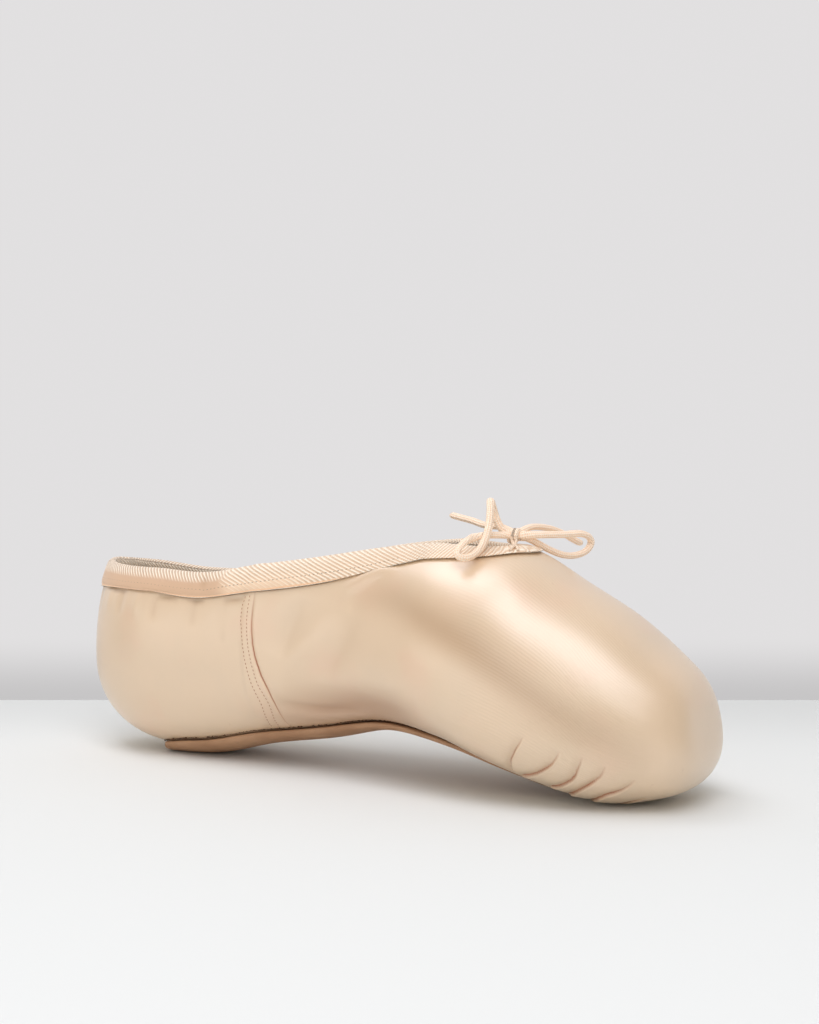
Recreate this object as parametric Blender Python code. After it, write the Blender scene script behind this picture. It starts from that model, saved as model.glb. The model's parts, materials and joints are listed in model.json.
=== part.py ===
"""A pointe shoe, standing empty on its heel and its box.

Metres, +Z up, +X towards the toe and Y across. The origin is on the floor, under the middle of the shoe.
The upper is measured on a last, which a short table of sections describes from heel to toe. The upper's
wall follows meridians: lines on the last that leave the edge of the sole, pass round the side and reach
the collar. They stand side by side along the shoe and fan out round the heel and round the box.
"""

import math
from collections import namedtuple

import bmesh
import bpy
import numpy as np
from mathutils import Matrix, Vector
from mathutils.geometry import interpolate_bezier

# The last
LENGTH = 0.236
HEEL_DEPTH = 0.038
HEEL_WIDTH = 0.0540
WAIST_WIDTH = 0.0510
BALL_WIDTH = 0.0800
PLATFORM_WIDTH = 0.0490
HEEL_HEIGHT = 0.0668
THROAT_HEIGHT = 0.0800
PLATFORM_TOP = 0.0400
ARCH_RISE = 0.0190
TOE_LIFT = 0.0055
TOE_EDGE_RADIUS = 0.0080
PRESSED_FLAT = 0.0008
HEEL_LEAN = 0.12
HEEL_PLAN_POWER = 2.1

# The opening for the foot
VAMP_LENGTH = 0.0665
THROAT_DEPTH = 0.0245
COLLAR_WIDTH = 0.0340
THROAT_POWER = 2.2

# The wall of the upper, and the gap that touching pieces keep
WALL = 0.0016
BOX_WALL = 0.0026
BOX_BLEND = 0.030
CLEARANCE = 0.00035
SOLE_CLEARANCE = 0.00050

# The raised side seam
SEAM_PLACE = 0.222
SEAM_WIDTH = 0.0050
SEAM_RISE = 0.0004
SEAM_EDGE = 0.0004
SEAM_LEAN = 0.0100
SEAM_LEAN_REACH = 0.030
SEAM_LEAN_POWER = 2.5
SEAM_FOOT = 0.12

# The leather sole and the insole
SOLE_BACK = 0.80 * HEEL_DEPTH
SOLE_FRONT = 0.0360
SOLE_HEEL_WIDTH = 0.0340
SOLE_WAIST_WIDTH = 0.0330
SOLE_BALL_WIDTH = 0.0350
SOLE_TIP_WIDTH = 0.0240
SOLE_THICKNESS = 0.0027
SOLE_TIP_THICKNESS = 0.0011
SOLE_END_LENGTH = 0.0080
END_WIDTH = 0.35
LIP = 0.0050
INSOLE_THICKNESS = 0.0015
INSOLE_MARGIN = 0.0020
INSOLE_BACK = 0.53 * HEEL_DEPTH
INSOLE_FRONT = 0.0360
SLOPE_ALLOWANCE = 1.25

# The casing, a tape folded over the rim
TAPE = 0.0008
CASING_OUTSIDE = 0.0090
CASING_INSIDE = 0.0080

# The drawstring's bow
CORD_DIAMETER = 0.0025

# How finely the solids are cut
HEEL_STATIONS = 10
SIDE_STATIONS = 12
TOE_STATIONS = 15
MERIDIAN_STEPS = 64
OUTER_ROWS = 17
INNER_ROWS = 11
RIM_ROWS = 3
TURN_LENGTH = 0.009
PLATE_STATIONS = 30
PLATE_COLUMNS = 8
PLATE_CROWDING = 0.6
CURVE_STEPS = 16
SMOOTH_BELOW = math.radians(40)
BISECTIONS = 40
SEARCH_REACH = 0.16

BACK = -LENGTH / 2
FRONT = LENGTH / 2
HEEL_CENTRE = BACK + HEEL_DEPTH
THROAT = FRONT - VAMP_LENGTH
TOE_CENTRE = THROAT - THROAT_DEPTH
SPAN = FRONT - HEEL_CENTRE
SEAM = HEEL_CENTRE + SEAM_PLACE * SPAN

# One row for each section. place: share of the way from the heel's centre to the toe. width: across the
# widest line. widest, top and under: heights of that line, of the collar or ridge, and of the underside.
# opening: width between the collar's edges. low and up: how square the lower and upper halves are.
Section = namedtuple("Section", "place width widest top opening under low up")
SECTIONS = (
    Section(0.000, 1.00 * HEEL_WIDTH, 0.50 * HEEL_HEIGHT, 1.000 * HEEL_HEIGHT,
            0.93 * COLLAR_WIDTH, 0.90 * SOLE_THICKNESS, 2.40, 2.2),
    Section(0.075, 0.97 * HEEL_WIDTH, 0.47 * HEEL_HEIGHT, 0.990 * HEEL_HEIGHT,
            0.97 * COLLAR_WIDTH, 0.18 * ARCH_RISE, 2.40, 2.2),
    Section(0.205, 1.00 * WAIST_WIDTH, 0.40 * THROAT_HEIGHT, 0.872 * THROAT_HEIGHT,
            1.00 * COLLAR_WIDTH, 0.50 * ARCH_RISE, 2.40, 2.1),
    Section(0.335, 0.99 * WAIST_WIDTH, 0.44 * THROAT_HEIGHT, 0.920 * THROAT_HEIGHT,
            0.95 * COLLAR_WIDTH, 0.72 * ARCH_RISE, 2.40, 2.0),
    Section(0.465, 0.76 * BALL_WIDTH, 0.48 * THROAT_HEIGHT, 0.978 * THROAT_HEIGHT,
            0.79 * COLLAR_WIDTH, 1.00 * ARCH_RISE, 2.40, 1.9),
    Section(0.575, 0.92 * BALL_WIDTH, 0.44 * THROAT_HEIGHT, 1.005 * THROAT_HEIGHT,
            0.50 * COLLAR_WIDTH, 0.83 * ARCH_RISE, 2.40, 2.0),
    Section(0.680, 0.99 * BALL_WIDTH, 0.36 * THROAT_HEIGHT, 0.993 * THROAT_HEIGHT,
            0.0, 0.50 * ARCH_RISE, 2.50, 2.0),
    Section(0.775, 0.945 * BALL_WIDTH, 0.30 * THROAT_HEIGHT, 0.872 * THROAT_HEIGHT,
            0.0, 0.19 * ARCH_RISE, 2.55, 2.1),
    Section(0.873, 1.34 * PLATFORM_WIDTH, 0.53 * PLATFORM_TOP, 1.475 * PLATFORM_TOP,
            0.0, -0.14 * TOE_LIFT, 2.60, 2.3),
    Section(0.955, 1.105 * PLATFORM_WIDTH, 0.53 * PLATFORM_TOP, 1.155 * PLATFORM_TOP,
            0.0, 0.55 * TOE_LIFT, 2.60, 2.4),
    Section(1.000, 1.00 * PLATFORM_WIDTH, 0.52 * PLATFORM_TOP, 1.00 * PLATFORM_TOP,
            0.0, 1.00 * TOE_LIFT, 2.60, 2.4),
)

# Where the drawstring pulls the collar down. side: -1 near, 1 far. place: as above. depth and reach: how
# far down, and how far along the shoe on either side.
Dip = namedtuple("Dip", "side place depth reach")
COLLAR_DIPS = (
    Dip(-1, 0.085, 0.0009, 0.018),
    Dip(1, -0.010, 0.0062, 0.024),
    Dip(1, 0.150, 0.0036, 0.036),
)

# The sole's outline and edge. place: share of the way from its back end to its tip.
SoleSection = namedtuple("SoleSection", "place width thickness")
SOLE_SECTIONS = (
    SoleSection(0.00, 0.80 * SOLE_HEEL_WIDTH, 1.00 * SOLE_THICKNESS),
    SoleSection(0.12, 1.00 * SOLE_HEEL_WIDTH, 1.04 * SOLE_THICKNESS),
    SoleSection(0.42, 1.00 * SOLE_WAIST_WIDTH, 1.00 * SOLE_THICKNESS),
    SoleSection(0.74, 1.00 * SOLE_BALL_WIDTH, 0.80 * SOLE_THICKNESS),
    SoleSection(0.92, 1.15 * SOLE_TIP_WIDTH, 1.20 * SOLE_TIP_THICKNESS),
    SoleSection(1.00, 0.80 * SOLE_TIP_WIDTH, 1.00 * SOLE_TIP_THICKNESS),
)

# The bow's routes in millimetres from the middle of the knot, x forward, y across and z up.
KNOT_HEIGHT = 0.0036
KNOT_AHEAD = -0.0006
KNOT_STRETCH = (1.6, 1.6, 1.7)
Route = namedtuple("Route", "name points")
BOW_ROUTES = (
    Route("bow_loop_near", (
        (-3.0, -3.4, 0.9), (-7.0, -11.8, 0.8), (-9.0, -17.9, -0.9), (-10.0, -21.5, -3.6),
        (-9.4, -22.3, -5.4), (-7.4, -20.6, -6.0), (-5.6, -16.8, -4.4), (-4.8, -13.2, -1.2),
        (-4.5, -10.1, 2.9), (-5.2, -7.4, 7.8), (-6.4, -4.8, 11.6), (-7.6, -2.4, 12.4),
        (-7.6, -0.6, 9.4), (-6.6, 0.0, 5.6), (-4.8, 0.2, 2.4), (-3.2, 0.2, 1.2))),
    Route("bow_loop_far", (
        (3.0, 1.4, 1.4), (7.9, 7.6, 1.4), (11.5, 13.4, 1.2), (14.8, 20.1, 1.2),
        (16.6, 24.4, 0.0), (17.0, 26.1, -2.2), (15.9, 23.8, -4.6), (13.8, 19.4, -5.5),
        (11.3, 14.6, -5.2), (8.3, 10.4, -3.7), (5.2, 6.9, -1.9), (2.2, 3.8, -0.6))),
    Route("bow_end_near", (
        (-2.7, 2.9, 2.3), (-7.4, 3.8, 3.8), (-13.4, 5.4, 4.0), (-19.8, 8.6, 5.4),
        (-25.6, 11.4, 6.2), (-30.8, 13.9, 7.0))),
    Route("bow_end_far", (
        (1.1, 3.1, 3.1), (1.8, 8.0, 4.6), (3.4, 13.0, 4.8), (5.4, 18.2, 4.0),
        (7.6, 23.4, 2.0), (9.2, 28.2, -0.6), (10.6, 33.0, -3.0))),
)
CORD_STEP = 2.2 * CORD_DIAMETER
KNOT_SIDES = 14
KNOT_ROWS = 9
MILLIMETRE = 0.001

PEACH_SATIN = ("peach_satin", (0.74, 0.58, 0.45, 1.0), 0.38)
TAN_LEATHER = ("tan_leather", (0.50, 0.31, 0.20, 1.0), 0.62)
CANVAS = ("canvas", (0.66, 0.54, 0.42, 1.0), 0.85)
TWILL_TAPE = ("twill_tape", (0.78, 0.58, 0.41, 1.0), 0.60)
ELASTIC = ("elastic_cord", (0.84, 0.66, 0.49, 1.0), 0.70)


def clear_scene():
    """Remove every object that the file starts with."""
    for old in list(bpy.data.objects):
        bpy.data.objects.remove(old, do_unlink=True)


def material(name, colour, roughness):
    """A plain finish of one colour, made once for each name."""
    found = bpy.data.materials.get(name)
    if found:
        return found
    made = bpy.data.materials.new(name)
    made.use_nodes = True
    shader = made.node_tree.nodes["Principled BSDF"]
    shader.inputs["Base Color"].default_value = colour
    shader.inputs["Roughness"].default_value = roughness
    return made


def smooth_curve(places, values, at):
    """A cubic through the values that never overshoots between two of them."""
    places = np.asarray(places, float)
    values = np.asarray(values, float)
    at = np.asarray(at, float)
    steps = np.diff(places)
    slopes = np.diff(values) / steps
    before, after = slopes[:-1], slopes[1:]
    same_way = before * after > 0
    weight_before = 2 * steps[1:] + steps[:-1]
    weight_after = steps[1:] + 2 * steps[:-1]
    safe_before = np.where(same_way, before, 1.0)
    safe_after = np.where(same_way, after, 1.0)
    mean = (weight_before + weight_after) / (weight_before / safe_before + weight_after / safe_after)
    tangents = np.concatenate([[slopes[0]], np.where(same_way, mean, 0.0), [slopes[-1]]])
    index = np.clip(np.searchsorted(places, at, side="right") - 1, 0, len(steps) - 1)
    step = steps[index]
    share = np.clip((at - places[index]) / step, 0.0, 1.0)
    start = (1 + 2 * share) * (1 - share) ** 2 * values[index]
    end = share**2 * (3 - 2 * share) * values[index + 1]
    start_slope = share * (1 - share) ** 2 * step * tangents[index]
    end_slope = share**2 * (share - 1) * step * tangents[index + 1]
    return start + end + start_slope + end_slope


def section_at(x):
    """Every column of the table, read at x."""
    share = np.clip((x - HEEL_CENTRE) / SPAN, 0.0, 1.0)
    places = [row.place for row in SECTIONS]
    columns = (smooth_curve(places, [getattr(row, name) for row in SECTIONS], share)
               for name in Section._fields)
    return Section(*columns)


def power_side(share, power):
    """The other coordinate of a squared circle of radius 1, where one coordinate is the share."""
    return np.power(np.clip(1 - np.abs(share) ** power, 0.0, 1.0), 1 / power)


def outside(x, y, z):
    """Whether a point lies outside the last: over 0 outside it and under 0 inside."""
    section = section_at(x)
    into_edge = np.clip((x - (FRONT - TOE_EDGE_RADIUS)) / TOE_EDGE_RADIUS, 0.0, 1.0)
    rounded = TOE_EDGE_RADIUS * (1 - np.sqrt(1 - into_edge**2))
    half = section.width / 2 - rounded
    above = z >= section.widest
    crown = (section.top - section.widest) / power_side(section.opening / section.width, section.up) - rounded
    depth = section.widest - section.under - rounded
    height = np.abs(z - section.widest) / np.where(above, crown, depth)
    power = np.where(above, section.up, section.low)
    round_body = (np.abs(y) / half) ** power + height**power - 1
    reach = HEEL_DEPTH * np.where(above, 1 - HEEL_LEAN * height**2, power_side(height, HEEL_PLAN_POWER))
    side = half * power_side(height, power)
    tiny = 1e-6
    behind = np.clip(HEEL_CENTRE - x, 0.0, None) / np.maximum(reach, tiny)
    round_heel = (behind**HEEL_PLAN_POWER
                  + (np.abs(y) / np.maximum(side, tiny)) ** HEEL_PLAN_POWER - 1)
    round_heel = np.where(height >= 1, 1.0, round_heel)
    body = np.where(x < HEEL_CENTRE, round_heel, round_body)
    return np.where(x > FRONT, 1.0, body)


def bisect(is_out, shape):
    """The distance at which each ray of this shape leaves the last."""
    near = np.zeros(shape)
    far = np.full(shape, SEARCH_REACH)
    for _ in range(BISECTIONS):
        middle = (near + far) / 2
        out = is_out(middle) > 0
        near = np.where(out, near, middle)
        far = np.where(out, middle, far)
    return (near + far) / 2


def surface_height(x, y, way):
    """The height of the last's upper side (way 1) or underside (way -1) over the point x, y."""
    widest = section_at(x).widest
    return widest + way * bisect(lambda reach: outside(x, y, widest + way * reach), np.shape(x))


def sole_section_at(x):
    """The sole's width and thickness at x, with both of its ends rounded in plan."""
    back, front = BACK + SOLE_BACK, FRONT - SOLE_FRONT
    share = np.clip((x - back) / (front - back), 0.0, 1.0)
    places = [row.place for row in SOLE_SECTIONS]
    width = smooth_curve(places, [row.width for row in SOLE_SECTIONS], share)
    thickness = smooth_curve(places, [row.thickness for row in SOLE_SECTIONS], share)
    return width, thickness


def fan_radius(across, along, direction_x, direction_y, power):
    """The radius of a squared ellipse in each direction."""
    total = (np.abs(direction_x) / along) ** power + (np.abs(direction_y) / across) ** power
    return total ** (-1 / power)


def station_rays():
    """Where each meridian stands on the centre line, and the way it faces: heel fan, side, box fan."""
    rays = []
    for index in range(HEEL_STATIONS):
        angle = index / HEEL_STATIONS * math.pi / 2
        rays.append((HEEL_CENTRE, -math.cos(angle), math.sin(angle)))
    seam_edges = (SEAM - SEAM_WIDTH - SEAM_EDGE, SEAM - SEAM_WIDTH, SEAM, SEAM + SEAM_EDGE)
    spacing = (TOE_CENTRE - HEEL_CENTRE) / SIDE_STATIONS
    regular = [HEEL_CENTRE + spacing * index for index in range(SIDE_STATIONS)]
    clear = [x for x in regular
             if x < seam_edges[0] - spacing / 4 or x > seam_edges[-1] + spacing / 4]
    rays += [(x, 0.0, 1.0) for x in sorted(clear + list(seam_edges))]
    for index in range(TOE_STATIONS + 1):
        angle = index / TOE_STATIONS * math.pi / 2
        rays.append((TOE_CENTRE, math.sin(angle), math.cos(angle)))
    return np.array(rays).T


def seam_rise(x):
    """How far the wall stands proud at a station, 0 away from the seam."""
    tolerance = SEAM_EDGE / 4
    return np.where((x > SEAM - SEAM_WIDTH - tolerance) & (x < SEAM + tolerance), SEAM_RISE, 0.0)


def collar_dip(x, side):
    """How far the collar of one side is pulled down at x."""
    total = np.zeros(np.shape(x))
    for dip in COLLAR_DIPS:
        if dip.side == side:
            middle = HEEL_CENTRE + dip.place * SPAN
            share = np.clip(1 - np.abs(x - middle) / dip.reach, 0.0, 1.0)
            total += dip.depth * share * share * (3 - 2 * share)
    return total


def meridians(side):
    """One side of the last as an array of meridians, each a row of points from the sole to the collar."""
    x, along, across = station_rays()
    section = section_at(x)
    heel, toe = along < 0, along > 0
    collar = section.opening / 2
    heel_reach = HEEL_DEPTH * (1 - HEEL_LEAN)
    collar = np.where(heel, fan_radius(collar, heel_reach, along, across, HEEL_PLAN_POWER), collar)
    collar = np.where(toe, fan_radius(section.opening / 2, THROAT_DEPTH, along, across, THROAT_POWER), collar)
    seat = sole_section_at(x)[0] / 2 - LIP
    seat_back = SOLE_BACK + LIP - HEEL_DEPTH
    seat_front = FRONT - SOLE_FRONT - LIP - TOE_CENTRE
    seat_along = np.where(toe, seat_front, -seat_back)
    seat = np.where(heel | toe, fan_radius(seat, seat_along, along, across, HEEL_PLAN_POWER), seat)
    low = surface_height(x + along * seat, across * seat, -1)
    high = np.where(toe, surface_height(x + along * collar, across * collar, 1),
                    section.top - collar_dip(x + along * collar, side))
    low_angle = np.arctan2(low - section.widest, seat)
    high_angle = np.arctan2(high - section.widest, collar)
    share = np.linspace(0.0, 1.0, MERIDIAN_STEPS)
    angle = low_angle[:, None] + (high_angle - low_angle)[:, None] * share
    near_seam = np.clip(1 - np.abs(x - SEAM) / SEAM_LEAN_REACH, 0.0, 1.0)
    lean = SEAM_LEAN * (near_seam * near_seam * (3 - 2 * near_seam))[:, None] * (1 - share) ** SEAM_LEAN_POWER
    foot = x[:, None] + np.where(heel | toe, 0.0, 1.0)[:, None] * lean
    along, across, middle = along[:, None], across[:, None], section.widest[:, None]

    def place(reach):
        flat = reach * np.cos(angle)
        return foot + along * flat, side * across * flat, middle + reach * np.sin(angle)

    reach = bisect(lambda tried: outside(*place(tried)), angle.shape)
    return np.stack(place(reach), axis=-1)


def ring_of_meridians():
    """Both sides as one ring: the near side from heel to toe, then the far side from toe to heel."""
    return np.concatenate([meridians(-1), meridians(1)[-2:0:-1]])


def surface_normals(ring):
    """The outward direction at each point of a ring of meridians."""
    along_shoe = np.roll(ring, -1, axis=0) - np.roll(ring, 1, axis=0)
    up_side = np.gradient(ring, axis=1)
    normals = np.cross(along_shoe, up_side)
    normals /= np.linalg.norm(normals, axis=-1, keepdims=True)
    return normals


class Shell:
    """The outer surface of the upper, its normals and the distance from the collar along each meridian."""

    def __init__(self):
        ring = ring_of_meridians()
        self.normals = surface_normals(ring)
        above_sole = np.clip(np.linspace(0.0, 1.0, MERIDIAN_STEPS) / SEAM_FOOT - 1, 0.0, 1.0)
        raised = seam_rise(ring[:, -1, 0])[:, None] * above_sole
        self.points = ring + raised[..., None] * self.normals
        height = self.points[..., 2]
        ahead = self.points[..., 0] > FRONT - SOLE_FRONT + LIP
        self.points[..., 2] = np.where(ahead & (height < PRESSED_FLAT), 0.0, height)
        self.walls = wall_at(ring[..., 0])
        strides = np.diff(ring, axis=1)
        steps = np.linalg.norm(strides, axis=-1)
        headings = strides / steps[..., None]
        turns = np.linalg.norm(np.diff(headings, axis=1), axis=-1)
        turns = np.concatenate([turns[:, :1], turns], axis=1)
        self.from_seat = np.pad(np.cumsum(steps, axis=1), ((0, 0), (1, 0)))
        self.effort = np.pad(np.cumsum(steps + TURN_LENGTH * turns, axis=1), ((0, 0), (1, 0)))

    def at(self, places, offset_walls=0.0, offset=0.0):
        """Points at these distances from the seat, moved along the normal by walls and by metres."""
        rows = []
        for station, distances in enumerate(places):
            known = self.from_seat[station]
            moved = (self.points[station]
                     + self.normals[station] * (offset_walls * self.walls[station][:, None] + offset))
            rows.append([[np.interp(distance, known, moved[:, axis]) for axis in range(3)]
                         for distance in distances])
        return np.array(rows)

    def lengths(self):
        """How long each meridian is."""
        return self.from_seat[:, -1]

    def below_rim(self, depth, rows):
        """Even distances from the seat over the strip that ends at the rim, from below upwards."""
        return self.lengths()[:, None] - np.linspace(depth, 0.0, rows)

    def wall_places(self, rows, depth, rim_rows):
        """Distances from the seat: closer where the meridian turns, then even under the casing."""
        shares = np.linspace(0.0, 1.0, rows, endpoint=False)
        places = []
        for effort, known in zip(self.effort, self.from_seat):
            last = np.interp(known[-1] - depth, known, effort)
            places.append(np.interp(shares * last, effort, known))
        return np.concatenate([places, self.below_rim(depth, rim_rows)], axis=1)


def wall_at(x):
    """The wall's thickness: fabric at the heel and side, a stiffened box round the toes."""
    share = np.clip((x - THROAT + BOX_BLEND) / BOX_BLEND, 0.0, 1.0)
    return WALL + (BOX_WALL - WALL) * share * share * (3 - 2 * share)


def add_mesh(name, vertices, faces, finish):
    """A smooth-shaded object from points and faces, with its faces turned outwards."""
    mesh = bpy.data.meshes.new(name)
    mesh.from_pydata([tuple(point) for point in vertices], [], faces)
    shape = bmesh.new()
    shape.from_mesh(mesh)
    bmesh.ops.recalc_face_normals(shape, faces=shape.faces)
    bmesh.ops.triangulate(shape, faces=shape.faces, quad_method="SHORT_EDGE")
    shape.to_mesh(mesh)
    shape.free()
    mesh.shade_smooth()
    mesh.set_sharp_from_angle(angle=SMOOTH_BELOW)
    mesh.materials.append(material(*finish))
    made = bpy.data.objects.new(name, mesh)
    bpy.context.scene.collection.objects.link(made)
    return made


def closed_tube_faces(stations, points):
    """Quads of a ring of closed profiles: both the ring and each profile meet themselves."""
    faces = []
    for station in range(stations):
        following = (station + 1) % stations
        for point in range(points):
            beyond = (point + 1) % points
            faces.append((station * points + point, following * points + point,
                          following * points + beyond, station * points + beyond))
    return faces


def make_upper(shell):
    """The hollow upper: out along the last, over the rim and back inside, open at the collar and the sole."""
    outer = shell.at(shell.wall_places(OUTER_ROWS, CASING_OUTSIDE, RIM_ROWS))
    inner = shell.at(shell.wall_places(INNER_ROWS, CASING_INSIDE, RIM_ROWS)[:, ::-1], offset_walls=-1.0)
    profiles = np.concatenate([outer, inner], axis=1)
    stations, points = profiles.shape[:2]
    return add_mesh("upper", profiles.reshape(-1, 3), closed_tube_faces(stations, points), PEACH_SATIN)


def rim_roll(rim, outward, upward, half_wall, extra):
    """Points of a half circle over the rim, from its outer side to its inner side."""
    angles = np.radians([60.0, 90.0, 120.0])
    radius = half_wall + extra
    middle = rim - outward * half_wall
    return [middle + outward * radius * math.cos(angle) + upward * radius * math.sin(angle)
            for angle in angles]


def make_casing(shell):
    """The tape that is folded over the rim, with an outer and an inner leg of its own lengths."""
    lengths = shell.lengths()[:, None]
    outer_places = shell.below_rim(CASING_OUTSIDE, RIM_ROWS)
    inner_places = shell.below_rim(CASING_INSIDE, RIM_ROWS)[:, ::-1]
    near, far = CLEARANCE, CLEARANCE + TAPE
    outer_skin = shell.at(outer_places, 0.0, far)
    outer_back = shell.at(outer_places, 0.0, near)
    inner_skin = shell.at(inner_places, -1.0, -far)
    inner_back = shell.at(inner_places, -1.0, -near)
    rims = shell.at(lengths)[:, 0]
    below = shell.at(lengths - CASING_OUTSIDE / 4)[:, 0]
    profiles = []
    for station in range(len(rims)):
        upward = rims[station] - below[station]
        upward /= np.linalg.norm(upward)
        outward = shell.normals[station, -1]
        upward -= outward * upward.dot(outward)
        half_wall = shell.walls[station, -1] / 2
        over = rim_roll(rims[station], outward, upward, half_wall, far)
        under = rim_roll(rims[station], outward, upward, half_wall, near)
        profiles.append([*outer_skin[station], *over, *inner_skin[station],
                         *inner_back[station][::-1], *under[::-1], *outer_back[station][::-1]])
    profiles = np.array(profiles)
    stations, points = profiles.shape[:2]
    return add_mesh("casing", profiles.reshape(-1, 3), closed_tube_faces(stations, points), TWILL_TAPE)


def rounded_ends(distances, length):
    """How wide a plate is, as a share, at distances from its back end: its ends round off in plan."""
    from_end = np.clip(np.minimum(distances, length - distances) / SOLE_END_LENGTH, 0.0, 1.0)
    return END_WIDTH + (1 - END_WIDTH) * np.sqrt(1 - (1 - from_end) ** 2)


def plate_grid(back, front, width_at):
    """Plan positions of a plate: stations from back to front, closer at the ends, each cut into columns."""
    share = 0.5 - 0.5 * np.cos(np.linspace(0.0, math.pi, PLATE_STATIONS))
    share = PLATE_CROWDING * share + (1 - PLATE_CROWDING) * np.linspace(0.0, 1.0, PLATE_STATIONS)
    x = back + (front - back) * share
    half = width_at(x) / 2 * rounded_ends(x - back, front - back)
    y = half[:, None] * np.linspace(-1.0, 1.0, PLATE_COLUMNS + 1)
    return np.repeat(x[:, None], PLATE_COLUMNS + 1, axis=1), y


def add_plate(name, x, y, top, bottom, finish):
    """A closed plate between two height fields over the same plan."""
    upper_side = np.stack([x, y, top], axis=-1)
    under_side = np.stack([x, y, bottom], axis=-1)[:, ::-1]
    profiles = np.concatenate([upper_side, under_side], axis=1)
    stations, points = profiles.shape[:2]
    faces = []
    for station in range(stations - 1):
        for point in range(points):
            beyond = (point + 1) % points
            faces.append((station * points + point, (station + 1) * points + point,
                          (station + 1) * points + beyond, station * points + beyond))
    half = points // 2
    for station in (0, stations - 1):
        for column in range(half - 1):
            first = station * points + column
            opposite = station * points + points - 1 - column
            faces.append((first, first + 1, opposite - 1, opposite))
    return add_mesh(name, profiles.reshape(-1, 3), faces, finish)


def make_outsole():
    """The leather sole: it follows the last's underside, and is worn flat where the heel stands."""
    x, y = plate_grid(BACK + SOLE_BACK, FRONT - SOLE_FRONT, lambda at: sole_section_at(at)[0])
    top = surface_height(x, y, -1) - SOLE_CLEARANCE
    worn = np.maximum(top - sole_section_at(x)[1], 0.0)
    bottom = np.minimum(worn, top - SOLE_TIP_THICKNESS / 2)
    return add_plate("outsole", x, y, top, bottom, TAN_LEATHER)


def make_insole():
    """The insole: inside the upper, on the lip of its wall."""
    x, y = plate_grid(BACK + INSOLE_BACK, FRONT - INSOLE_FRONT,
                      lambda at: sole_section_at(at)[0] - 2 * INSOLE_MARGIN)
    lift = (wall_at(x) + CLEARANCE) * SLOPE_ALLOWANCE
    bottom = surface_height(x, y, -1) + lift
    return add_plate("insole", x, y, bottom + INSOLE_THICKNESS, bottom, CANVAS)


def smooth_route(points, step):
    """Points about one step apart on a smooth curve through the route's own points."""
    knots = [Vector(point) for point in points]
    ends = [knots[0] * 2 - knots[1], *knots, knots[-1] * 2 - knots[-2]]
    dense = []
    for index in range(len(knots) - 1):
        before, start, end, after = ends[index:index + 4]
        leave = start + (end - before) / 6
        arrive = end - (after - start) / 6
        dense += interpolate_bezier(start, leave, arrive, end, CURVE_STEPS)[:-1]
    dense.append(knots[-1])
    distances = np.cumsum([0.0] + [(b - a).length for a, b in zip(dense, dense[1:])])
    count = max(round(distances[-1] / step), 2)
    wanted = np.linspace(0.0, distances[-1], count + 1)
    columns = [np.interp(wanted, distances, [point[axis] for point in dense]) for axis in range(3)]
    return np.stack(columns, axis=-1)


def add_cord(name, points):
    """A round cord along a row of points."""
    curve = bpy.data.curves.new(name, "CURVE")
    curve.dimensions = "3D"
    curve.bevel_depth = CORD_DIAMETER / 2
    curve.bevel_resolution = 2
    curve.use_fill_caps = True
    spline = curve.splines.new("POLY")
    spline.points.add(len(points) - 1)
    for point, position in zip(spline.points, points):
        point.co = (*position, 1.0)
    curve.materials.append(material(*ELASTIC))
    made = bpy.data.objects.new(name, curve)
    bpy.context.scene.collection.objects.link(made)
    return made


def knot_centre():
    """The middle of the bow's knot, just above the casing at the throat."""
    throat_top = surface_height(np.array(THROAT), np.array(0.0), 1)
    return np.array([THROAT + KNOT_AHEAD, 0.0, float(throat_top) + KNOT_HEIGHT])


def make_bow():
    """The drawstring's bow: a knot, two loops and two loose ends, all short of the knot by a small gap."""
    centre = knot_centre()
    for route in BOW_ROUTES:
        points = centre + np.array(route.points) * MILLIMETRE
        add_cord(route.name, smooth_route(points, CORD_STEP))
    add_knot(centre)


def add_knot(centre):
    """The knot: a ball, wider and taller than the cord that it is tied from."""
    bpy.ops.mesh.primitive_uv_sphere_add(segments=KNOT_SIDES, ring_count=KNOT_ROWS, radius=CORD_DIAMETER / 2)
    knot = bpy.context.object
    knot.name = "bow_knot"
    knot.data.transform(Matrix.Translation(centre) @ Matrix.Diagonal((*KNOT_STRETCH, 1.0)))
    knot.data.shade_smooth()
    knot.data.materials.append(material(*ELASTIC))


def main():
    """Build every piece of the shoe."""
    clear_scene()
    shell = Shell()
    make_upper(shell)
    make_casing(shell)
    make_outsole()
    make_insole()
    make_bow()


main()
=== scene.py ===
"""A pointe shoe in peach satin, dressed round its frame.

Metres, +Z up, +X towards the toe. The near side, which the camera sees, is -Y.
"""

import json
import logging
import math
from dataclasses import dataclass
from enum import Enum
from typing import Any, Iterable, Optional, Sequence, Union

import bpy
import numpy as np
from mathutils import Matrix, Vector
from mathutils.bvhtree import BVHTree
from mathutils.geometry import interpolate_bezier

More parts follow.
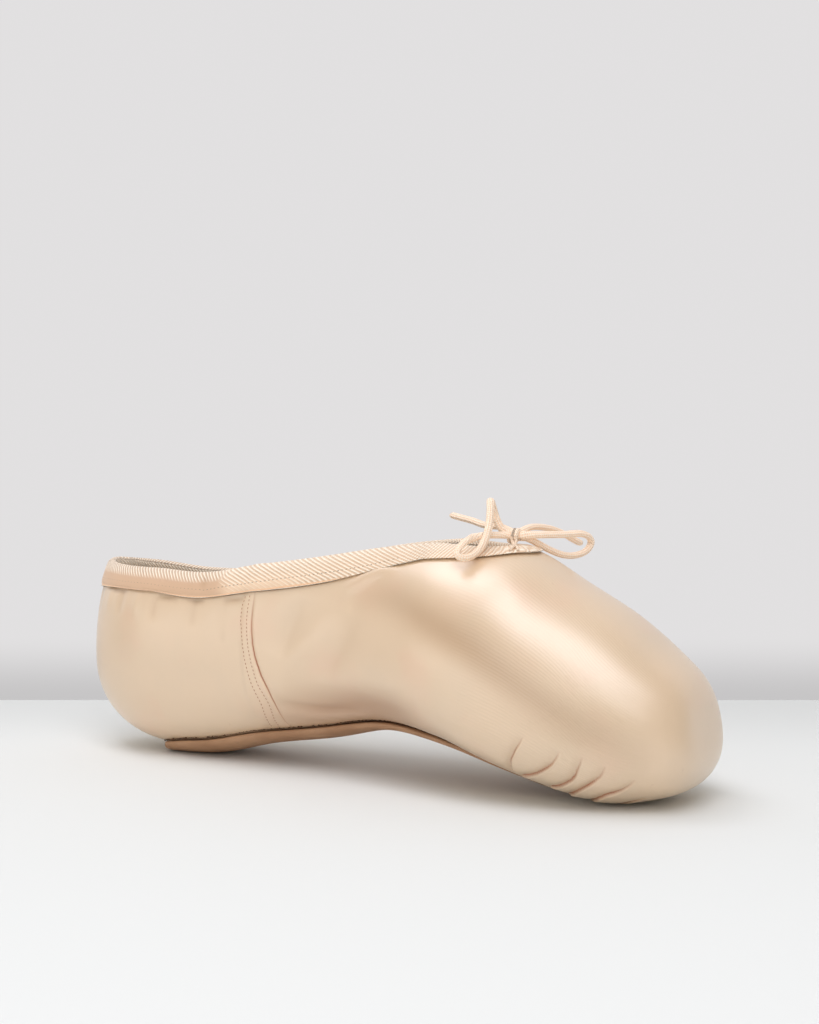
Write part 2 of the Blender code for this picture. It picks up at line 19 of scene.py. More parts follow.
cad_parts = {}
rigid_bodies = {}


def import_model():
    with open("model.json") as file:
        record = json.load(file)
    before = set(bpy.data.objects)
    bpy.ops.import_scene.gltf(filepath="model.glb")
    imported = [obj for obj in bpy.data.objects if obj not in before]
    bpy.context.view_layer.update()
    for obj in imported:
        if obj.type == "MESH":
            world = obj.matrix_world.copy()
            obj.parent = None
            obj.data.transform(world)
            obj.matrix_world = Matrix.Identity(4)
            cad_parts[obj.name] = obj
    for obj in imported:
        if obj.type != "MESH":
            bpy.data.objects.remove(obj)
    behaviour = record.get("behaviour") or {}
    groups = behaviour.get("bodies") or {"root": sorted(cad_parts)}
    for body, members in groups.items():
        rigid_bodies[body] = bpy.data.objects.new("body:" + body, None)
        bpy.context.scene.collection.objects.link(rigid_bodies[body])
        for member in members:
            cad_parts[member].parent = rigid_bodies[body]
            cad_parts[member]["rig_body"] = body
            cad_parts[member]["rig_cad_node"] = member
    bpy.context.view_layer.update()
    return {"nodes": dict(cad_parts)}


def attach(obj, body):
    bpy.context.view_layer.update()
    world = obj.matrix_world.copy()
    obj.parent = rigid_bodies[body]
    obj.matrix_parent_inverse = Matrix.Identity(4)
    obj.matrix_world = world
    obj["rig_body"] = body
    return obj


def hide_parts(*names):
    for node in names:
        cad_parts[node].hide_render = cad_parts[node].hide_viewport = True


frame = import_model()

LOG = logging.getLogger("pointe_shoe")
Colour = tuple[float, float, float]
Point = tuple[float, float, float]
Span = tuple[float, float]
Rows = np.ndarray
Piece = bpy.types.Object
Material = bpy.types.Material
Number = Union[float, "Socket"]
MM = 0.001
SUNK = -0.03 * MM


# Materials


class Socket:
    """One output of a node. Arithmetic on it adds Math nodes."""

    def __init__(self, graph: "Graph", link: bpy.types.NodeSocket) -> None:
        """Keep the graph and the output.

        Args:
            graph: The material's graph.
            link: The node's output.
        """
        self.graph = graph
        self.link = link

    def _math(self, operation: str, *others: Number) -> "Socket":
        """Add a Math node that takes this socket first."""
        return self.graph.math(operation, self, *others)

    def __add__(self, other: Number) -> "Socket":
        """Sum."""
        return self._math("ADD", other)

    __radd__ = __add__

    def __sub__(self, other: Number) -> "Socket":
        """Difference."""
        return self._math("SUBTRACT", other)

    def __rsub__(self, other: Number) -> "Socket":
        """Difference, the other way round."""
        return self.graph.math("SUBTRACT", other, self)

    def __mul__(self, other: Number) -> "Socket":
        """Product."""
        return self._math("MULTIPLY", other)

    __rmul__ = __mul__

    def sine(self) -> "Socket":
        """Sine of an angle in radians."""
        return self._math("SINE")

    def wave(self, pitch: float) -> "Socket":
        """Waves of this pitch, from -1 to 1."""
        return (self * (2 * math.pi / pitch)).sine()

    def clamped(self) -> "Socket":
        """The value, kept between 0 and 1."""
        return self.graph.node("ShaderNodeClamp", {}, Value=self)

    def between(self, low: float, high: float) -> "Socket":
        """0 below one limit, 1 above the other and smooth between them.

        Args:
            low: The value that gives 0.
            high: The value that gives 1.

        Returns:
            The mask.
        """
        settings = {"interpolation_type": "SMOOTHSTEP"}
        values = {"From Min": low, "From Max": high}
        return self.graph.node("ShaderNodeMapRange", settings, Value=self, **values)


class Graph:
    """A material's nodes, round one Principled BSDF."""

    def __init__(self, name: str) -> None:
        """Make the material.

        Args:
            name: Its name.
        """
        self.material = bpy.data.materials.new(name)
        self.material.use_nodes = True
        self.tree = self.material.node_tree
        self.shader = self.tree.nodes["Principled BSDF"]

    def node(self, kind: str, settings: dict[str, Any], out: Union[int, str] = 0,
             **values: Any) -> Socket:
        """Add any node.

        Args:
            kind: Its type.
            settings: Its own settings, which are set first.
            out: The output that is wanted.
            **values: Values or sockets by input name, or by "in0", "in1" for a place.

        Returns:
            The wanted output.
        """
        made = self.tree.nodes.new(kind)
        for key, value in settings.items():
            setattr(made, key, value)
        for key, value in values.items():
            place = int(key[2:]) if key[:2] == "in" and key[2:].isdigit() else key
            self.feed(made.inputs[place], value)
        return Socket(self, made.outputs[out])

    def feed(self, target: bpy.types.NodeSocket, value: Any) -> None:
        """Link a socket to an input, or set its value.

        Args:
            target: The input.
            value: The socket, number or colour that it gets.
        """
        if isinstance(value, Socket):
            self.tree.links.new(value.link, target)
        else:
            target.default_value = value

    def math(self, operation: str, *values: Number) -> Socket:
        """Add one Math node on these values."""
        places = {f"in{index}": value for index, value in enumerate(values)}
        return self.node("ShaderNodeMath", {"operation": operation}, **places)

    def mix(self, share: Number, first: Any, second: Any) -> Socket:
        """Mix two colours, each a tuple or a socket.

        Args:
            share: How much of the second colour there is.
            first: The first colour.
            second: The second colour.

        Returns:
            The mixed colour.
        """
        settings = {"data_type": "RGBA", "clamp_factor": True}
        pair = [(*c, 1.0) if isinstance(c, tuple) else c for c in (first, second)]
        return self.node("ShaderNodeMix", settings, 2, in0=share, in6=pair[0], in7=pair[1])

    def noise(self, where: Socket, scale: float, detail: float = 2.0,
              stretch: Point = (1.0, 1.0, 1.0)) -> Socket:
        """Noise in 0 to 1.

        Args:
            where: Coordinates in metres.
            scale: Cells in a metre.
            detail: Octaves.
            stretch: A factor for each axis.

        Returns:
            The noise value.
        """
        placed = self.node("ShaderNodeMapping", {}, Vector=where, Scale=stretch)
        return self.node("ShaderNodeTexNoise", {}, Vector=placed, Scale=scale, Detail=detail)

    def place(self) -> Socket:
        """Object coordinates."""
        return self.node("ShaderNodeTexCoord", {}, "Object")

    def parts(self, vector: Socket) -> tuple[Socket, Socket, Socket]:
        """Split a vector.

        Args:
            vector: The vector.

        Returns:
            Its three parts.
        """
        split = self.tree.nodes.new("ShaderNodeSeparateXYZ")
        self.feed(split.inputs[0], vector)
        return tuple(Socket(self, output) for output in split.outputs)

    def cloth(self) -> tuple[Socket, Socket, Socket]:
        """Read the piece's own map, which is in metres.

        Returns:
            The vector, and its two parts.
        """
        vector = self.node("ShaderNodeTexCoord", {}, "UV")
        along, across, _ = self.parts(vector)
        return vector, along, across

    def painted(self, name: str) -> Socket:
        """A number stored on the piece's points."""
        return self.node("ShaderNodeAttribute", {"attribute_name": name}, "Fac")

    def bump(self, height: Socket, distance: float, below: Optional[Socket] = None) -> Socket:
        """Add a Bump node.

        Args:
            height: The relief, 1 for the whole distance.
            distance: How far the relief goes, in metres.
            below: The bump that this one lies on, if any.

        Returns:
            The bent normal.
        """
        under = {} if below is None else {"Normal": below}
        return self.node("ShaderNodeBump", {}, Height=height, Distance=distance, **under)

    def finish(self, **values: Any) -> Material:
        """Feed the shader and give the material.

        Args:
            **values: The shader's inputs, with _ for a space.

        Returns:
            The material.
        """
        for key, value in values.items():
            self.feed(self.shader.inputs[key.replace("_", " ")], value)
        return self.material


@dataclass(frozen=True)
class Satin:
    """Peach satin: fine floats of thread with a broad sheen."""

    colour: Colour = (0.765, 0.565, 0.370)
    blush: Colour = (0.785, 0.490, 0.325)
    ash: Colour = (0.670, 0.515, 0.345)
    dim: Colour = (0.500, 0.315, 0.165)
    crease: Colour = (0.360, 0.110, 0.045)
    rib: float = 0.80 * MM
    thread: float = 0.16 * MM
    slant: float = 0.10
    drift: float = 4.0 * MM
    bend: Span = (0.050, 0.110)
    bend_rise: float = 12.0 * MM
    ribs_begin: Span = (0.030, 0.075)
    ribs_end: Span = (0.102, 0.110)
    weave: float = 0.032 * MM
    ripple: float = 0.14 * MM

    def make(self) -> Material:
        """Build the material.

        Returns:
            The material.
        """
        g = Graph("peach_satin")
        vector, along, round_ = g.cloth()
        place = g.place()
        x, _, _ = g.parts(place)
        patches = g.noise(place, 34.0, 3.0)
        pinks = g.noise(place, 50.0, 2.0)
        base = g.mix(patches.between(0.42, 0.72) * 0.34, self.colour, self.ash)
        base = g.mix(pinks.between(0.50, 0.78) * 0.36, base, self.blush)
        # Painted shade: "fold" turns creases, crevices and the arch red-brown, and "shade" dims the
        # cloth round them
        fold = g.painted("fold").clamped()
        base = g.mix(g.painted("shade").clamped(), base, self.dim)
        base = g.mix(fold, base, self.crease)
        sweep = along.between(*self.bend)
        drift = (g.noise(place, 26.0, 2.0) - 0.5) * self.drift
        ribs = (round_ + along * self.slant + sweep * sweep * self.bend_rise + drift).wave(self.rib)
        shown = (1.0 - x.between(*self.ribs_end) * 0.8) * x.between(*self.ribs_begin)
        floats = g.noise(vector, 1.0 / self.thread, 1.0, (0.12, 1.0, 1.0))
        worn = g.noise(place, 120.0, 3.0)
        base = g.mix(ribs.between(-1.0, 1.0) * shown * 0.20, base, self.ash)
        marks = g.noise(place, 420.0, 2.0, (1.0, 1.0, 0.3))
        scuff = marks.between(0.70, 0.78) * worn.between(0.5, 0.6)
        base = g.mix(scuff * 0.25, base, self.crease)
        grain = g.bump(ribs * shown * 0.7 + floats * 1.2, self.weave)
        ripple = g.bump(g.noise(place, 60.0, 2.0), self.ripple, grain)
        roughness = 0.37 + worn * 0.06 + fold * 0.3
        return g.finish(Base_Color=base, Roughness=roughness, Normal=ripple, Specular_IOR_Level=0.6,
                        Sheen_Weight=0.03, Sheen_Roughness=0.45, Sheen_Tint=(1.0, 0.93, 0.86, 1.0),
                        Coat_Weight=1.0 - fold, Coat_Roughness=0.35, Coat_IOR=2.05)


@dataclass(frozen=True)
class Lining:
    """The drill lining inside the shoe."""

    colour: Colour = (0.780, 0.660, 0.520)
    shade: Colour = (0.640, 0.500, 0.370)
    twill: float = 0.9 * MM
    cross: float = 0.5 * MM

    def make(self) -> Material:
        """Build the material.

        Returns:
            The material.
        """
        g = Graph("drill_lining")
        _, along, round_ = g.cloth()
        twill = (along + round_).wave(self.twill)
        cross = (along - round_).wave(self.cross)
        spots = g.noise(g.place(), 60.0, 3.0)
        base = g.mix(spots.between(0.35, 0.75) * 0.5 + twill * 0.06, self.colour, self.shade)
        weave = g.bump(twill * 0.7 + cross * 0.3, 0.05 * MM)
        return g.finish(Base_Color=base, Roughness=0.88, Normal=weave, Sheen_Weight=0.15)


@dataclass(frozen=True)
class Twill:
    """The casing's tape: raised diagonal ribs, with a painted highlight that makes its fold lighter,
    and a coloured lower edge.
    """

    colour: Colour = (0.850, 0.610, 0.410)
    light: Colour = (1.000, 0.890, 0.730)
    deep: Colour = (0.480, 0.290, 0.160)
    plain: Colour = (0.660, 0.435, 0.275)
    edge: Colour = (0.930, 0.570, 0.330)
    rib: float = 1.0 * MM
    lean: float = 28.0
    throat_lean: float = -56.0
    heel_lean: float = 48.0
    width: float = 9.4 * MM
    side_ends: Span = (0.022, 0.034)
    throat_begins: Span = (0.014, 0.026)
    heel_begins: Span = (-0.046, -0.056)
    side_fades: Span = (-0.010, -0.030)
    heel_ribs: Span = (1.4 * MM, 4.6 * MM)
    folded_in: Span = (-0.6 * MM, -1.6 * MM)

    def ribs(self, along: Socket, down: Socket, lean: float) -> Socket:
        """Slanted ribs, from -1 to 1.

        Args:
            along: Metres along the tape.
            down: Metres from its fold.
            lean: The angle between the ribs and the tape, in degrees.

        Returns:
            The ribs.
        """
        angle = math.radians(lean)
        return (along * math.sin(angle) - down * math.cos(angle)).wave(self.rib)

    def make(self) -> Material:
        """Build the material.

        Returns:
            The material.
        """
        g = Graph("twill_tape")
        _, along, down = g.cloth()
        place = g.place()
        x, _, _ = g.parts(place)
        wander = (g.noise(place, 70.0, 1.0) - 0.5) * (0.5 * MM)
        front, back = x.between(*self.side_ends), x.between(*self.heel_begins)
        side = self.ribs(along + wander, down, self.lean) * (1.0 - front)
        throat = self.ribs(along + wander, down, self.throat_lean) * x.between(*self.throat_begins)
        low = down.between(self.width * 0.35, self.width * 0.80)
        side = side * (1.0 - back) * (1.0 - low * x.between(*self.side_fades) * 0.8)
        heel = self.ribs(along, down, self.heel_lean) * back * (1.0 - down.between(*self.heel_ribs))
        ribs = side + throat * 0.8 + heel
        cords = (ribs * 0.5 + 0.5).clamped()
        strength = (side * side + throat * throat + heel * heel).between(0.0, 0.05)
        # Painted highlight: the tape is lighter along its fold over the rim
        fold_highlight = 1.0 - down.between(0.4 * MM, self.width * 0.45)
        patches = g.noise(place, 70.0, 2.0)
        # Painted light: the inner leg, which lies in shade, is made lighter
        inside = down.between(*self.folded_in)
        ribs_and_painted_light = cords.between(0.30, 0.90) * strength * 0.85 + fold_highlight * 0.30 + inside * 0.6
        sunk = cords.between(0.40, 0.05) * strength * 0.28 + patches.between(0.5, 0.8) * 0.10
        base = g.mix(back * (1.0 - inside), self.colour, self.plain)
        base = g.mix(ribs_and_painted_light, base, self.light)
        base = g.mix(sunk, base, self.deep)
        hem = down.between(self.width * 0.870, self.width * 0.900)
        base = g.mix(hem * 0.85, base, self.edge)
        # Painted shade in the tape's notch crease
        base = g.mix(g.painted("fold").clamped(), base, self.deep)
        threads = g.noise(place, 1800.0, 1.0)
        roll = (down - self.width * 0.90).between(-0.3 * MM, 0.0)
        roll = roll * (1.0 - down.between(self.width * 0.94, self.width))
        height = g.bump(ribs * (1.0 - hem) + threads * 0.3 + roll * 0.8, 0.12 * MM)
        return g.finish(Base_Color=base, Roughness=0.52, Normal=height, Sheen_Weight=0.30,
                        Sheen_Roughness=0.5, Sheen_Tint=(1.0, 0.9, 0.8, 1.0), Specular_IOR_Level=0.8)


@dataclass(frozen=True)
class Braid:
    """The braided elastic cord of the drawstring."""

    colour: Colour = (1.000, 0.770, 0.570)
    light: Colour = (1.000, 0.900, 0.790)
    deep: Colour = (0.820, 0.520, 0.310)
    turn: float = 1.5 * MM
    strands: int = 4

    def make(self) -> Material:
        """Build the material.

        Returns:
            The material.
        """
        g = Graph("braided_cord")
        _, along, round_ = g.cloth()
        spin = round_ * (2 * math.pi * self.strands)
        run = along * (2 * math.pi / self.turn)
        left, right = (run + spin).sine(), (run - spin).sine()
        braid = left * right
        spots = g.noise(g.place(), 240.0, 3.0)
        base = g.mix(braid.between(-0.5, 0.9) * 0.5 + spots * 0.2, self.colour, self.light)
        base = g.mix(braid.between(-0.1, -0.9) * 0.45, base, self.deep)
        # Painted light: the cord glows a little with its own colour
        return g.finish(Base_Color=base, Roughness=0.55, Normal=g.bump(braid, 0.14 * MM),
                        Specular_IOR_Level=0.4, Emission_Color=base, Emission_Strength=0.10)


@dataclass(frozen=True)
class SoleLeather:
    """Tan split leather: smooth rolled edge, scuffed, with painted shade along the top of its edge."""

    colour: Colour = (0.370, 0.195, 0.100)
    pale: Colour = (0.580, 0.350, 0.205)
    dark: Colour = (0.130, 0.070, 0.045)

    def make(self) -> Material:
        """Build the material.

        Returns:
            The material.
        """
        g = Graph("tan_leather")
        place = g.place()
        clouds = g.noise(place, 45.0, 4.0)
        grain = g.noise(place, 900.0, 3.0)
        scuffs = g.noise(place, 300.0, 2.0, (0.10, 1.0, 1.0))
        fibre = g.noise(place, 420.0, 4.0, (0.35, 1.0, 1.0))
        edge = g.painted("fold").clamped()
        base = g.mix(clouds.between(0.3, 0.75) * 0.7, self.colour, self.pale)
        base = g.mix(scuffs.between(0.58, 0.78) * 0.35, base, self.pale)
        base = g.mix(fibre.between(0.60, 0.85) * 0.25, base, self.dark)
        # Painted shade: the top of the edge, in the gap under the satin, is darker
        base = g.mix(edge, base, self.dark)
        relief = g.bump(grain * 0.5 + fibre * 0.8 + clouds * 0.6, 0.10 * MM)
        roughness = 0.52 + clouds * 0.18
        return g.finish(Base_Color=base, Roughness=roughness, Normal=relief, Specular_IOR_Level=0.4)


@dataclass(frozen=True)
class Canvas:
    """The insole's covering, a plain weave with a little wear."""

    colour: Colour = (0.700, 0.580, 0.440)
    dark: Colour = (0.480, 0.370, 0.270)
    pitch: float = 0.9 * MM

    def make(self) -> Material:
        """Build the material.

        Returns:
            The material.
        """
        g = Graph("canvas")
        place = g.place()
        x, y, _ = g.parts(place)
        weave = x.wave(self.pitch) * y.wave(self.pitch)
        wear = g.noise(place, 40.0, 4.0)
        base = g.mix(wear.between(0.45, 0.75) * 0.6 + weave * 0.10, self.colour, self.dark)
        return g.finish(Base_Color=base, Roughness=0.9, Normal=g.bump(weave, 0.12 * MM))


@dataclass(frozen=True)
class Thread:
    """Sewing thread, a shade off the cloth that it holds."""

    name: str = "peach_thread"
    colour: Colour = (0.560, 0.320, 0.210)
    shade: Colour = (0.330, 0.150, 0.090)

    def make(self) -> Material:
        """Build the material.

        Returns:
            The material.
        """
        g = Graph(self.name)
        twist = g.noise(g.place(), 2600.0, 2.0)
        base = g.mix(twist.between(0.3, 0.7) * 0.6, self.colour, self.shade)
        return g.finish(Base_Color=base, Roughness=0.8, Normal=g.bump(twist, 0.05 * MM),
                        Specular_IOR_Level=0.2)


# Numbers at points


def ramp(values: Rows, low: float, high: float) -> Rows:
    """0 up to one limit, 1 from the other on and straight between them."""
    return np.clip((values - low) / (high - low), 0.0, 1.0)


def bell(distance: Rows, width: float, power: float = 2.0) -> Rows:
    """1 at no distance, and less and less beyond the width."""
    return np.exp(-(distance / width) ** power)


def unit(rows: Rows) -> Rows:
    """Each row at a length of 1."""
    return rows / (np.linalg.norm(rows, axis=-1, keepdims=True) + 1e-12)


# Modelling helpers


def only(*chosen: Piece) -> None:
    """Select these objects alone and make the first one active.

    Args:
        *chosen: The objects.
    """
    if bpy.context.object and bpy.context.object.mode != "OBJECT":
        bpy.ops.object.mode_set(mode="OBJECT")
    bpy.ops.object.select_all(action="DESELECT")
    for piece in chosen:
        piece.select_set(True)
    bpy.context.view_layer.objects.active = chosen[0]


def added(name: str) -> Piece:
    """Name the object that an operator has just added.

    Args:
        name: The name for it and its data.

    Returns:
        The object.
    """
    made = bpy.context.object
    made.name = name
    made.data.name = name
    return made


def settle(piece: Piece) -> Piece:
    """Put the piece's place, turn and size into its mesh.

    Args:
        piece: The piece.

    Returns:
        The same piece.
    """
    only(piece)
    bpy.ops.object.transform_apply(location=True, rotation=True, scale=True)
    return piece


def harden(piece: Piece, kind: str, **settings: Any) -> None:
    """Add a modifier and apply it.

    Args:
        piece: The object.
        kind: The modifier's type.
        **settings: Its settings.
    """
    only(piece)
    modifier = piece.modifiers.new(kind.lower(), kind)
    for key, value in settings.items():
        setattr(modifier, key, value)
    bpy.ops.object.modifier_apply(modifier=modifier.name)


def copied(node: str, name: str) -> Piece:
    """Copy a solid of the frame, sew its loose triangles and pair them into quads.

    Args:
        node: The solid's name.
        name: The copy's name.

    Returns:
        The copy, with no parent.
    """
    source = frame["nodes"][node]
    only(source)
    bpy.ops.object.duplicate()
    piece = added(name)
    piece.parent = None
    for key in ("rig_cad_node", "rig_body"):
        del piece[key]
    piece.data.materials.clear()
    bpy.ops.mesh.customdata_custom_splitnormals_clear()
    bpy.ops.object.mode_set(mode="EDIT")
    bpy.ops.mesh.select_all(action="SELECT")
    bpy.ops.mesh.remove_doubles(threshold=0.02 * MM)
    bend, skew = math.radians(70), math.radians(100)
    bpy.ops.mesh.tris_convert_to_quads(face_threshold=bend, shape_threshold=skew)
    bpy.ops.object.mode_set(mode="OBJECT")
    return piece


def rows_of(values: Any, key: str) -> Rows:
    """Read a vector of each item.

    Args:
        values: The mesh's points or their normals.
        key: The vector's name.

    Returns:
        One item a row.
    """
    flat = np.empty(len(values) * 3)
    values.foreach_get(key, flat)
    return flat.reshape(-1, 3)


def points_of(piece: Piece) -> Rows:
    """The piece's points, one a row."""
    return rows_of(piece.data.vertices, "co")


def normals_of(piece: Piece) -> Rows:
    """The outward direction at each point."""
    return rows_of(piece.data.vertex_normals, "vector")


def move_points(piece: Piece, points: Rows) -> None:
    """Give the piece's points new places."""
    piece.data.vertices.foreach_set("co", points.ravel())
    piece.data.update()


def paint(piece: Piece, name: str, values: Rows) -> None:
    """Store a number on each point."""
    kept = piece.data.attributes.get(name) or piece.data.attributes.new(name, "FLOAT", "POINT")
    kept.data.foreach_set("value", values.astype(np.float32))


def map_cloth(piece: Piece, along: Rows, across: Rows,
              periods: Span = (0.0, 0.0)) -> None:
    """Store a map of the cloth, read at the points, in place of any other.

    Args:
        piece: The object.
        along: The first coordinate at each point.
        across: The second coordinate at each point.
        periods: How far each coordinate runs before it starts again, 0 where it doesn't.
    """
    mesh = piece.data
    while mesh.uv_layers:
        mesh.uv_layers.remove(mesh.uv_layers[0])
    layer = mesh.uv_layers.new(name="cloth")
    corner, starts, counts = (np.empty(size, dtype=np.int64) for size in
                              (len(mesh.loops), len(mesh.polygons), len(mesh.polygons)))
    mesh.loops.foreach_get("vertex_index", corner)
    mesh.polygons.foreach_get("loop_start", starts)
    mesh.polygons.foreach_get("loop_total", counts)
    pairs = np.stack([along, across], axis=-1)[corner].astype(np.float32)
    for values, period in zip(pairs.T, periods):
        if period:
            lead = np.repeat(values[starts], counts)
            values += period * np.round((lead - values) / period)
    layer.data.foreach_set("uv", pairs.ravel())


def shade(piece: Piece, *finishes: Material) -> None:
    """Shade the piece smooth and give it its materials.

    Args:
        piece: The piece.
        *finishes: The materials, in the order of the faces' own numbers.
    """
    only(piece)
    bpy.ops.object.shade_smooth()
    piece.data.materials.clear()
    for finish in finishes:
        piece.data.materials.append(finish)


def place_piece(piece: Piece, slot: str, *nodes: str) -> Piece:
    """Let the piece ride on the shoe, in place of its solids.

    Args:
        piece: The finished piece.
        slot: The record's material slot; not used.
        *nodes: The solids that it replaces.

    Returns:
        The piece.
    """
    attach(piece, "root")
    if nodes:
        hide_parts(*nodes)
    LOG.info("%s: %d faces", piece.name, len(piece.data.polygons))
    return piece


def smooth_route(points: Sequence[Point], step: float) -> Rows:
    """Points about one step apart on a smooth curve through a route.

    Args:
        points: The route's own points.
        step: The wanted spacing.

    Returns:
        One point a row.
    """
    knots = [Vector(point) for point in points]
    ends = [knots[0] * 2 - knots[1], *knots, knots[-1] * 2 - knots[-2]]
    dense: list[Vector] = []
    for index in range(len(knots) - 1):
        before, start, end, after = ends[index:index + 4]
        leave, arrive = start + (end - before) / 6, end - (after - start) / 6
        dense += interpolate_bezier(start, leave, arrive, end, 12)[:-1]
    dense.append(knots[-1])
    rows = np.array([tuple(point) for point in dense])
    line = Route(rows)
    return line.at(np.linspace(0.0, line.total, max(round(line.total / step), 2) + 1))


def traced(line: Sequence[Point], sign: int) -> Rows:
    """Lay a smooth route through a given line.

    Args:
        line: Points in millimetres on the near side.
        sign: -1 for the near side, 1 for the line's mirror image on the far side.

    Returns:
        One point a row, 1 mm apart, in metres.
    """
    return smooth_route([(x * MM, -sign * y * MM, z * MM) for x, y, z in line], 1.0 * MM)


@dataclass
class Route:
    """A line in space, by its points in metres."""

    points: Rows

    def __post_init__(self) -> None:
        """Measure the length up to each point."""
        steps = np.linalg.norm(np.diff(self.points, axis=0), axis=1)
        self.lengths = np.concatenate([[0.0], np.cumsum(steps)])

    @property
    def total(self) -> float:
        """The whole length."""
        return float(self.lengths[-1])

    def read(self, rows: Rows, along: Rows) -> Rows:
        """What rows that go with the line's points say at these lengths."""
        return np.stack([np.interp(along, self.lengths, column) for column in rows.T], axis=-1)

    def at(self, along: Rows) -> Rows:
        """The places at these lengths."""
        return self.read(self.points, along)

    def heading(self, along: Rows, step: float = 0.6 * MM) -> Rows:
        """The directions of the line at these lengths, from a step before to a step after."""
        ahead, behind = np.minimum(along + step, self.total), np.maximum(along - step, 0.0)
        return unit(self.at(ahead) - self.at(behind))

    def nearest(self, points: Rows) -> tuple[Rows, Rows]:
        """How far each point is from the line, and how far along the line its nearest place is.

        Args:
            points: One point a row.

        Returns:
            The distances, and the lengths along the line.
        """
        best, along = np.full(len(points), np.inf), np.zeros(len(points))
        for start, end, run in zip(self.points[:-1], self.points[1:], self.lengths):
            stride = end - start
            length = float(np.linalg.norm(stride)) + 1e-12
            share = np.clip((points - start) @ stride / length**2, 0.0, 1.0)
            gap = np.linalg.norm(points - start - share[:, None] * stride, axis=1)
            closer = gap < best
            best[closer], along[closer] = gap[closer], (run + share * length)[closer]
        return best, along

    def close_to(self, points: Rows, reach: float) -> Rows:
        """Whether each point is in the line's own box, made larger by the reach."""
        low, high = self.points.min(axis=0) - reach, self.points.max(axis=0) + reach
        return np.all((points > low) & (points < high), axis=1)


class Skin:
    """The outer surface of a piece, to lay lines on."""

    PROBE = 2.5 * MM

    def __init__(self, piece: Piece) -> None:
        """Read the piece's faces.

        Args:
            piece: The piece.
        """
        corners = [tuple(face.vertices) for face in piece.data.polygons]
        places = [vertex.co.copy() for vertex in piece.data.vertices]
        self.tree = BVHTree.FromPolygons(places, corners)

    def lay(self, points: Rows, lift: float = 0.0) -> tuple[Rows, Rows]:
        """Move points onto the outer surface.

        Args:
            points: One point a row, near the surface.
            lift: How far above the surface they stay.

        Returns:
            The moved points, and the surface's outward directions there.
        """
        places, outward = [], []
        for start, out in zip(points, LAST.out_of(points)):
            place, normal, _, _ = self.tree.find_nearest(Vector(start + out * self.PROBE))
            places.append(place + normal * lift)
            outward.append(normal)
        return np.array(places), np.array(outward)


def cord_tube(name: str, route: Rows, radius: float, sides: int, flat: float = 1.0,
              middle: Optional[Point] = None, tip: float = 0.8,
              spread: float = 0.7) -> Piece:
    """A cord as a mesh, mapped in metres along it and in turns round it.

    Args:
        name: The piece's name.
        route: The centre line.
        radius: The cord's radius.
        sides: Faces round it.
        flat: Its thickness as a share of the radius, where it is a flattened cord.
        middle: What its flat side faces, straight up where none is given.
        tip: The radius at its two ends, as a share of the whole.
        spread: How much of the flattening comes back as width.

    Returns:
        The cord.
    """
    bpy.ops.object.select_all(action="DESELECT")
    bpy.ops.curve.primitive_bezier_curve_add(location=(0, 0, 0))
    made = added(name)
    curve = made.data
    curve.splines.clear()
    spline = curve.splines.new("POLY")
    spline.points.add(len(route) - 1)
    for index, (point, position) in enumerate(zip(spline.points, route)):
        point.co = (*position, 1.0)
        point.radius = tip if index in (0, len(route) - 1) else 1.0
    curve.dimensions = "3D"
    curve.bevel_depth = radius
    curve.bevel_resolution = sides // 4 - 1
    curve.use_fill_caps = True
    only(made)
    bpy.ops.object.convert(target="MESH")
    bpy.ops.object.mode_set(mode="EDIT")
    bpy.ops.mesh.select_all(action="SELECT")
    bpy.ops.mesh.remove_doubles(threshold=0.01 * MM)
    bpy.ops.mesh.normals_make_consistent(inside=False)
    bpy.ops.object.mode_set(mode="OBJECT")
    line = Route(route)
    points = points_of(made)
    _, along = line.nearest(points)
    centres, heading = line.at(along), line.heading(along)
    out = points - centres
    toward = np.array(middle) - centres if middle else np.tile((0.0, 0.0, 1.0), (len(centres), 1))
    thin = unit(toward - heading * (toward * heading).sum(axis=1, keepdims=True))
    wide = np.cross(heading, thin)
    deep, broad = (out * thin).sum(axis=1), (out * wide).sum(axis=1)
    closer, wider = deep * (flat - 1.0), broad * (1.0 / flat - 1.0) * spread
    move_points(made, points + thin * closer[:, None] + wide * wider[:, None])
    map_cloth(made, along, np.arctan2(broad, deep) / (2 * math.pi), (0.0, 1.0))
    return made


# The sizes and lines that the dressing is placed by; a crease's are in millimetres


@dataclass(frozen=True)
class Last:
    """The middle line of the shoe, and the reach of its round ends, in metres."""

    heel_centre: float = -0.080
    toe_centre: float = 0.090
    heel_reach: float = 0.038
    round_reach: float = 0.028
    axis: tuple[Span, ...] = ((-0.118, 0.033), (-0.080, 0.033), (-0.040, 0.034), (0.012, 0.038),
                              (0.055, 0.032), (0.090, 0.024), (0.118, 0.021))

    def middle(self, x: Rows) -> Rows:
        """The height of the shoe's own axis at x."""
        places, heights = zip(*self.axis)
        return np.interp(x, places, heights)

    def out_of(self, points: Rows) -> Rows:
        """The direction from the shoe's axis to each point."""
        x = np.clip(points[:, 0], self.heel_centre, self.toe_centre)
        return unit(points - np.stack([x, np.zeros(len(x)), self.middle(x)], axis=-1))

    def cloth(self, points: Rows) -> tuple[Rows, Rows]:
        """The cloth's map: metres along the shoe, and metres round it.

        Args:
            points: One point a row.

        Returns:
            The two coordinates.
        """
        x, y, z = points.T
        height = z - self.middle(x)
        reach = np.hypot(y, height)
        ahead = np.clip(x - self.toe_centre, 0.0, None)
        behind = np.clip(self.heel_centre - x, 0.0, None)
        along = np.clip(x, self.heel_centre, self.toe_centre)
        along = along + self.round_reach * np.arctan2(ahead, reach)
        along = along - self.heel_reach * np.arctan2(behind, reach)
        return along, np.arctan2(height, np.abs(y)) * self.round_reach


LAST = Last()


class Side(Enum):
    """Which sides of the shoe a crease is on."""

    NEAR = (-1,)
    BOTH = (-1, 1)


